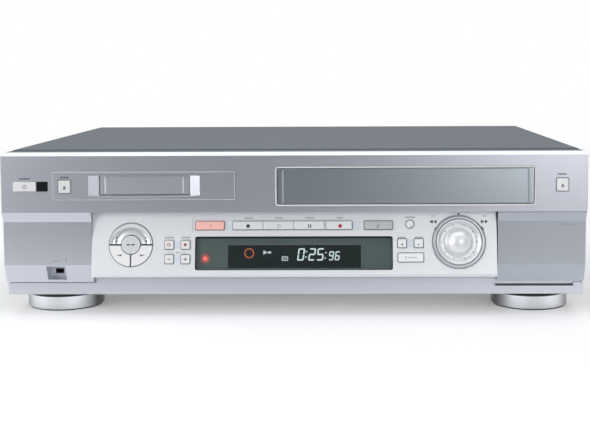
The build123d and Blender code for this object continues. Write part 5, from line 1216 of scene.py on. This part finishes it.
@dataclass
class DisplayWindow(Assembly):
    """Smoked window with its mask, display figures and lamps."""

    opening: Patch = (-76.6, 76.6, -20.9, 3.6)
    tube: Patch = (-51.7, 52.4, -19.55, -1.8)
    face_n: float = -3.58
    lit_thick: float = 0.06
    mask_n: Point = (-3.55, -3.40)
    lamp: Point = (-69.5, -12.1)
    lens_r: float = 1.4
    lens_n: Point = (-3.45, -3.25)
    halo_r: float = 5.6
    halo_n: Point = (-3.24, -3.20)

    def build(self) -> None:
        """Dress the window and fill it with its mask, figures, icons and lamps."""
        self.dress(GLASS, "display_window")
        self.dress(TUBE, "display_module")
        mask = rounded(*spread(*self.opening), 1.2), rounded(*spread(*self.tube), 0.6)
        Form().frame(self.places.plate, mask, *self.mask_n).piece("window_mask", MASK, Slot.DISPLAY)
        self._figures()
        self._icons()
        self._lamps()

    def _lit(self, name: str, finish: Finish, outlines: Outlines = (), rings: Rings = ()) -> None:
        """Lay lit shapes on the display's face."""
        form = Form().flats(self.places.plate, outlines, self.face_n, self.lit_thick, rings)
        form.piece(name, finish, Slot.DISPLAY)

    def _figures(self) -> None:
        """Counter figures and colons."""
        big, small = Digits(5.2, 9.6, 1.05), Digits(3.7, 7.0, 0.85)
        outlines = []
        for digit, x in ((0, 5.56), (2, 14.2), (5, 20.7)):
            outlines += big.outlines(digit, x, -9.0)
        for digit, x in ((9, 29.2), (6, 34.0)):
            outlines += small.outlines(digit, x, -10.1)
        for x, s in ((9.7, -6.8), (9.3, -11.0), (24.9, -7.6), (24.4, -11.9)):
            outlines.append(circle(0.6, 16, x, s))
        self._lit("counter_figures", DIGIT, outlines)

    def _icons(self) -> None:
        """Orange ring and two plain white marks."""
        self._lit("display_ring", ICON_ORANGE, rings=[ring(3.9, 3.0, 44, -35.1, -8.0)])
        x, s = -7.1, -12.2
        self._lit("display_icons", ICON_WHITE, [
            arrow(3.2, Way.RIGHT, -22.4, -7.4), bar(2.6, 1.6, -19.2, -7.4), bar(1.4, 0.9, x, s)],
            [border(x, s, 4.9, 3.4, 0.7, 0.5, 0.3)])

    def _lamps(self) -> None:
        """Lit red lamp with its halo, and three lamps that are off, whose faint glow is painted light."""
        plate = self.places.plate
        lens = Form().prism(plate, circle(self.lens_r, 32, *self.lamp), *self.lens_n, 0.1)
        lens.piece("lamp_red", LAMP_RED, Slot.DISPLAY)
        halo = Glow("lamp_red_halo", (1.0, 0.16, 0.14), 1.9, (0.05, 0.01, 0.01),
                    tuple(plate.at(*self.lamp, self.halo_n[1])), self.halo_r * MM, 0.7)
        disc = Form().prism(plate, circle(self.halo_r, 48, *self.lamp), *self.halo_n)
        disc.piece("lamp_halo", halo, Slot.DISPLAY)
        dark = [circle(r, 24, x, s) for x, s, r in (
            (-69.7, -0.95, 0.55), (70.0, -0.75, 0.6), (70.0, -12.1, 0.9))]
        Form().flats(plate, dark, self.mask_n[1], 0.08).piece("lamps_off_painted_glow", LAMP_OFF_PAINTED_GLOW, Slot.DISPLAY)


def ring_profile(r: float, n: float, high: float, bore: float = 4.2, chamfer: float = 0.3) -> list[Point]:
    """Profile of a socket's coloured ring, which starts n out of the face and is this high."""
    top = n + high
    return [(bore, n), (r, n), (r, top - chamfer), (r - chamfer, top), (bore, top)]


@dataclass
class JackBay(Assembly):
    """Front sockets behind the pull-down door, and the link socket."""

    z: float = 48.0
    xs: tuple[float, ...] = (175.0, 189.0, 203.0)
    back: float = -28.0
    door_z: float = 71.8
    door_n: float = -3.83
    door_slope: float = -0.4 / 34.2

    def build(self) -> None:
        """Dress the sockets, colour their rings, then mark the door and the link socket."""
        self.dress(BLACK, "front_jack_block", "link_socket")
        front = self.places.front
        for x, (word, finish) in zip(self.xs, SOCKETS.items()):
            form = Form().turned(front, x, self.z, ring_profile(6.2, self.back, 1.2))
            form.piece(f"front_socket_ring_{word}", finish)
        slope = Vector((0, self.door_slope, 1)).normalized()
        face = Surface(front.at(0, self.door_z, self.door_n), front.right, slope)
        marks = [arrow(1.5, Way.DOWN, 223.0)] + [bar(1.2, 0.8, 208.2 + k * 2.0) for k in range(6)]
        Form().flats(face, marks, -0.05, 0.1).piece("jack_door_mark", FAINT_INK_AND_SHADE, body="jack_door")
        marks = [bar(1.2, 0.7, -189.0 + k * 2.1, 43.6) for k in range(3)] + [bar(0.7, 2.6, -179.0, 44.4)]
        Form().flats(front, marks, -4.4, 0.3).piece("link_label_bars", FAINT_INK_AND_SHADE)


@dataclass
class Feet(Assembly):
    """Turned metal feet on rubber pads, with painted reflections and a dark band of painted shade at their
    tops.
    """

    x: float = 191.0
    front: float = 52.0
    rear: float = 290.0
    shade_neck_z: float = 11.3

    def build(self) -> None:
        """Dress the feet and the pads."""
        middle = self.places.front.origin.y + (self.front + self.rear) / 2 * MM
        self.dress(PaintedReflectionMetal("foot_metal_painted_reflections", (0.52, 0.53, 0.55), self.x * MM, middle,
                                 (self.rear - self.front) / 2 * MM, self.shade_neck_z * MM), "feet")
        self.dress(RUBBER, "foot_pads")


@dataclass
class RearFace(Assembly):
    """Back panel with coloured socket rings, printed frames and a bare rating plate."""

    columns: tuple[float, ...] = (20.0, 44.0, 68.0)
    rows: tuple[float, ...] = (62.0, 84.0)
    ring_n: float = 2.5
    ring_high: float = 0.6
    sleeve_r: Point = (4.16, 4.3)
    sleeve_n: Point = (12.9, 12.6)

    def build(self) -> None:
        """Dress the back and add its rings, sleeves, frames and plate."""
        self.dress(REAR, "rear_panel")
        self.dress(BLACK, "rear_jacks", "mains_inlet")
        self.dress(NICKEL, "antenna_connectors")
        rear, top = self.places.rear, self.ring_n + self.ring_high
        (bore, r), (inner_n, outer_n) = self.sleeve_r, self.sleeve_n
        sleeves = Form()
        for x, (word, finish) in zip(self.columns, SOCKETS.items()):
            form = Form()
            for z in self.rows:
                form.turned(rear, -x, z, ring_profile(6.0, self.ring_n, self.ring_high))
                sleeves.turned(rear, -x, z, [(bore, top), (r, top), (r, outer_n), (bore, inner_n)])
            form.piece(f"rear_socket_ring_{word}", finish)
        sleeves.piece("rear_socket_sleeves", NICKEL, Slot.NICKEL)
        frames = [border(x, z, w, h, 0.4, 2.0, 1.6) for x, z, w, h in (
            (-44.0, 73.0, 66.0, 42.0), (-94.0, 73.0, 20.0, 42.0), (-150.0, 73.0, 30.0, 46.0),
            (185.0, 50.0, 34.0, 24.0))]
        Form().flats(rear, thick=0.04, rings=frames).piece("rear_printed_frames", WHITE_INK)
        foil = Form().flats(rear, [rounded(115.0, 48.0, 46.0, 26.0, 1.5)], thick=0.12)
        foil.piece("rating_plate_bare", RATING_FOIL, Slot.ZINC)


@dataclass
class Interior(Assembly):
    """Boards, chassis and both cassette mechanisms."""

    def build(self) -> None:
        """Dress everything inside."""
        self.dress(STEEL, "bottom_chassis", "tape_deck", "mini_deck", "tape_slide_frame", "tape_carrier",
                   "mini_slide_frame", "mini_carrier", "tape_capstan")
        self.dress(BOARD, "main_board", "power_supply")
        # The front board is black: its own mask, and painted shade for what shows through the gaps in front
        # of it.
        self.dress(FRONT_BOARD_MASK_AND_SHADE, "front_board")
        self.dress(BLACK, "supply_reel", "takeup_reel")
        for names in (["tape_drum", "tape_drum_base"], ["mini_drum"]):
            low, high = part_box(names[0])
            centre, word = ((low.x + high.x) / 2, (low.y + high.y) / 2, low.z), f"{names[0]}_turned_aluminium"
            self.dress(Turned(word, (0.76, 0.77, 0.78), centre, (0.0, 0.0, 1.0), 0.5, 0.2), *names)


class Lamp(Enum):
    """Studio lamps: place, target, size across, size up and power in watts; lengths are metres."""

    OVERHEAD = ((0.0, -0.30, 1.25), (0.0, -0.10, 0.10), 1.9, 0.8, 5.4)
    LEFT = ((-0.95, -0.95, 0.35), (-0.12, -0.16, 0.08), 0.6, 0.7, 5.6)
    RIGHT = ((0.51, -1.43, 0.32), (0.15, -0.16, 0.09), 0.34, 0.7, 3.2)
    FILL = ((0.0, -1.55, 1.05), (0.0, -0.15, 0.06), 1.6, 0.5, 0.7)
    BACK = ((0.0, 1.5, 1.2), (0.0, 0.0, 0.08), 1.6, 0.8, 4.0)


@dataclass
class Studio:
    """White floor, white world, soft lamps and the camera; lengths are metres."""

    eye: Triple = (0.0392, -1.0100, 0.1965)
    turns: Triple = (-0.92, 3.58, 0.27)
    lens: float = 66.30
    sensor: float = 36.0
    shift: Point = (-0.0529, -0.1508)
    clip: Point = (0.01, 50.0)
    room: float = 0.62
    room_dark: float = 0.55
    side_reach: float = 1.3
    floor_half: float = 6.0
    dim_from: float = 0.20
    dim_over: float = 0.22
    lift: float = 2.4
    lift_share: float = 0.07
    paper_reach: float = 0.9

    def build(self) -> None:
        """Set the studio up."""
        scene = bpy.context.scene
        scene.view_settings.view_transform = "Standard"
        self._world(scene)
        self._floor(scene)
        for lamp in Lamp:
            self._lamp(scene, lamp)
        self._camera(scene)

    @staticmethod
    def _seen(sheet: NodeSheet, gloss_share: Value) -> Field:
        """1 for rays that show the background: the camera's, through glass and, in part, from gloss."""
        outputs = sheet.node("ShaderNodeLightPath").socket.node.outputs
        camera, gloss, through = (Field(sheet, outputs[f"Is {name} Ray"]) for name in
                                  ("Camera", "Glossy", "Transmission"))
        return sheet.maths("MAXIMUM", camera, sheet.maths("MAXIMUM", gloss * gloss_share, through))

    def _world(self, scene: bpy.types.Scene) -> None:
        """White where the background shows; straight ahead of the recorder the room is darker."""
        world = bpy.data.worlds.new("studio_world")
        scene.world = world
        world.use_nodes = True
        sheet = NodeSheet(world.node_tree)
        x, y, _ = sheet.split(sheet.node("ShaderNodeTexCoord", output="Generated"))
        ahead = (-y).clamped()
        aside = (x.unsigned() * self.side_reach).clamped()
        level = self.room - ahead * ahead * (1.0 - aside) * self.room_dark
        light, white = (sheet.node("ShaderNodeBackground", {"Color": colour, "Strength": 1.0})
                        for colour in (sheet.tint(level, NO_LIGHT, (0.97, 0.985, 1.0)), WHITE))
        shown = self._seen(sheet, (1.0 - ahead * 2.0).clamped())
        sheet.close(sheet.blend(shown, light, white), "ShaderNodeOutputWorld")

    def _floor(self, scene: bpy.types.Scene) -> None:
        """White paper that keeps the recorder's shadow, but looks dark ahead of it in its reflections."""
        data = bpy.data.meshes.new("studio_floor")
        corners_at = bar(2 * self.floor_half, 2 * self.floor_half)
        data.from_pydata([(x, y, 0.0) for x, y in corners_at], [], [tuple(range(4))])
        floor = bpy.data.objects.new("studio_floor", data)
        scene.collection.objects.link(floor)
        material = bpy.data.materials.new("studio_floor_white")
        material.use_nodes = True
        data.materials.append(material)
        sheet = NodeSheet(material.node_tree)
        cloud = sheet.noise(3.0)
        _, y, _ = sheet.split(sheet.where())
        ahead = ((-y - self.dim_from) / self.dim_over).clamped()
        pale = sheet.tint(cloud, (0.83, 0.83, 0.84), (0.86, 0.86, 0.87))
        bright = sheet.tint(cloud, (0.96, 0.96, 0.97), WHITE)
        paper, dimmed = (sheet.node("ShaderNodeBsdfDiffuse", {"Color": colour})
                         for colour in (bright, sheet.tint(ahead, pale, (0.07, 0.07, 0.075))))
        lift, white = (sheet.node("ShaderNodeEmission", {"Color": WHITE, "Strength": strength})
                       for strength in (self.lift, 1.0))
        away = (sheet.radius(ORIGIN) - self.paper_reach) / self.paper_reach
        shown = sheet.blend(away.clamped(), sheet.blend(self.lift_share, paper, lift), white)
        sheet.close(sheet.blend(self._seen(sheet, 1.0 - ahead), dimmed, shown))

    @staticmethod
    def _lamp(scene: bpy.types.Scene, lamp: Lamp) -> None:
        """Hang one soft lamp."""
        place, target, wide, high, power = lamp.value
        data = bpy.data.lights.new(f"lamp_{lamp.name.lower()}", "AREA")
        data.shape = "RECTANGLE"
        data.size, data.size_y, data.energy = wide, high, power
        made = bpy.data.objects.new(data.name, data)
        made.location = place
        made.rotation_euler = (Vector(target) - Vector(place)).to_track_quat("-Z", "Y").to_euler()
        scene.collection.objects.link(made)

    def _camera(self, scene: bpy.types.Scene) -> None:
        """Camera at the photograph's place, turned by its yaw, pitch and roll in degrees."""
        yaw, pitch, roll = (radians(a) for a in self.turns)
        ahead = Vector((sin(yaw) * cos(pitch), cos(yaw) * cos(pitch), -sin(pitch)))
        level = Vector((cos(yaw), -sin(yaw), 0.0))
        down = ahead.cross(level)
        right = level * cos(roll) + down * sin(roll)
        below = down * cos(roll) - level * sin(roll)
        data = bpy.data.cameras.new("studio_camera")
        data.sensor_width, data.lens = self.sensor, self.lens
        data.shift_x, data.shift_y = self.shift
        data.clip_start, data.clip_end = self.clip
        camera = bpy.data.objects.new("studio_camera", data)
        turn = Matrix((right, -below, -ahead)).transposed().to_4x4()
        camera.matrix_world = Matrix.Translation(Vector(self.eye)) @ turn
        scene.collection.objects.link(camera)
        scene.camera = camera


ASSEMBLIES: tuple[type[Assembly], ...] = (
    Cover, FrontMoulding, CassetteDoors, Keys, ControlPlate, KeyGapShades, DubWheel, JogShuttle, DisplayWindow,
    JackBay, Feet, RearFace, Interior)


def main() -> None:
    """Build every sub-assembly in order, then the studio."""
    logging.basicConfig(level=logging.INFO, format="%(name)s: %(message)s")
    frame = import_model()
    nodes = frame["nodes"]
    places = Places.read()
    for kind in ASSEMBLIES:
        log.info("building %s", kind.__name__)
        kind(nodes, places).build()
    Studio().build()


if __name__ == "__main__":
    main()
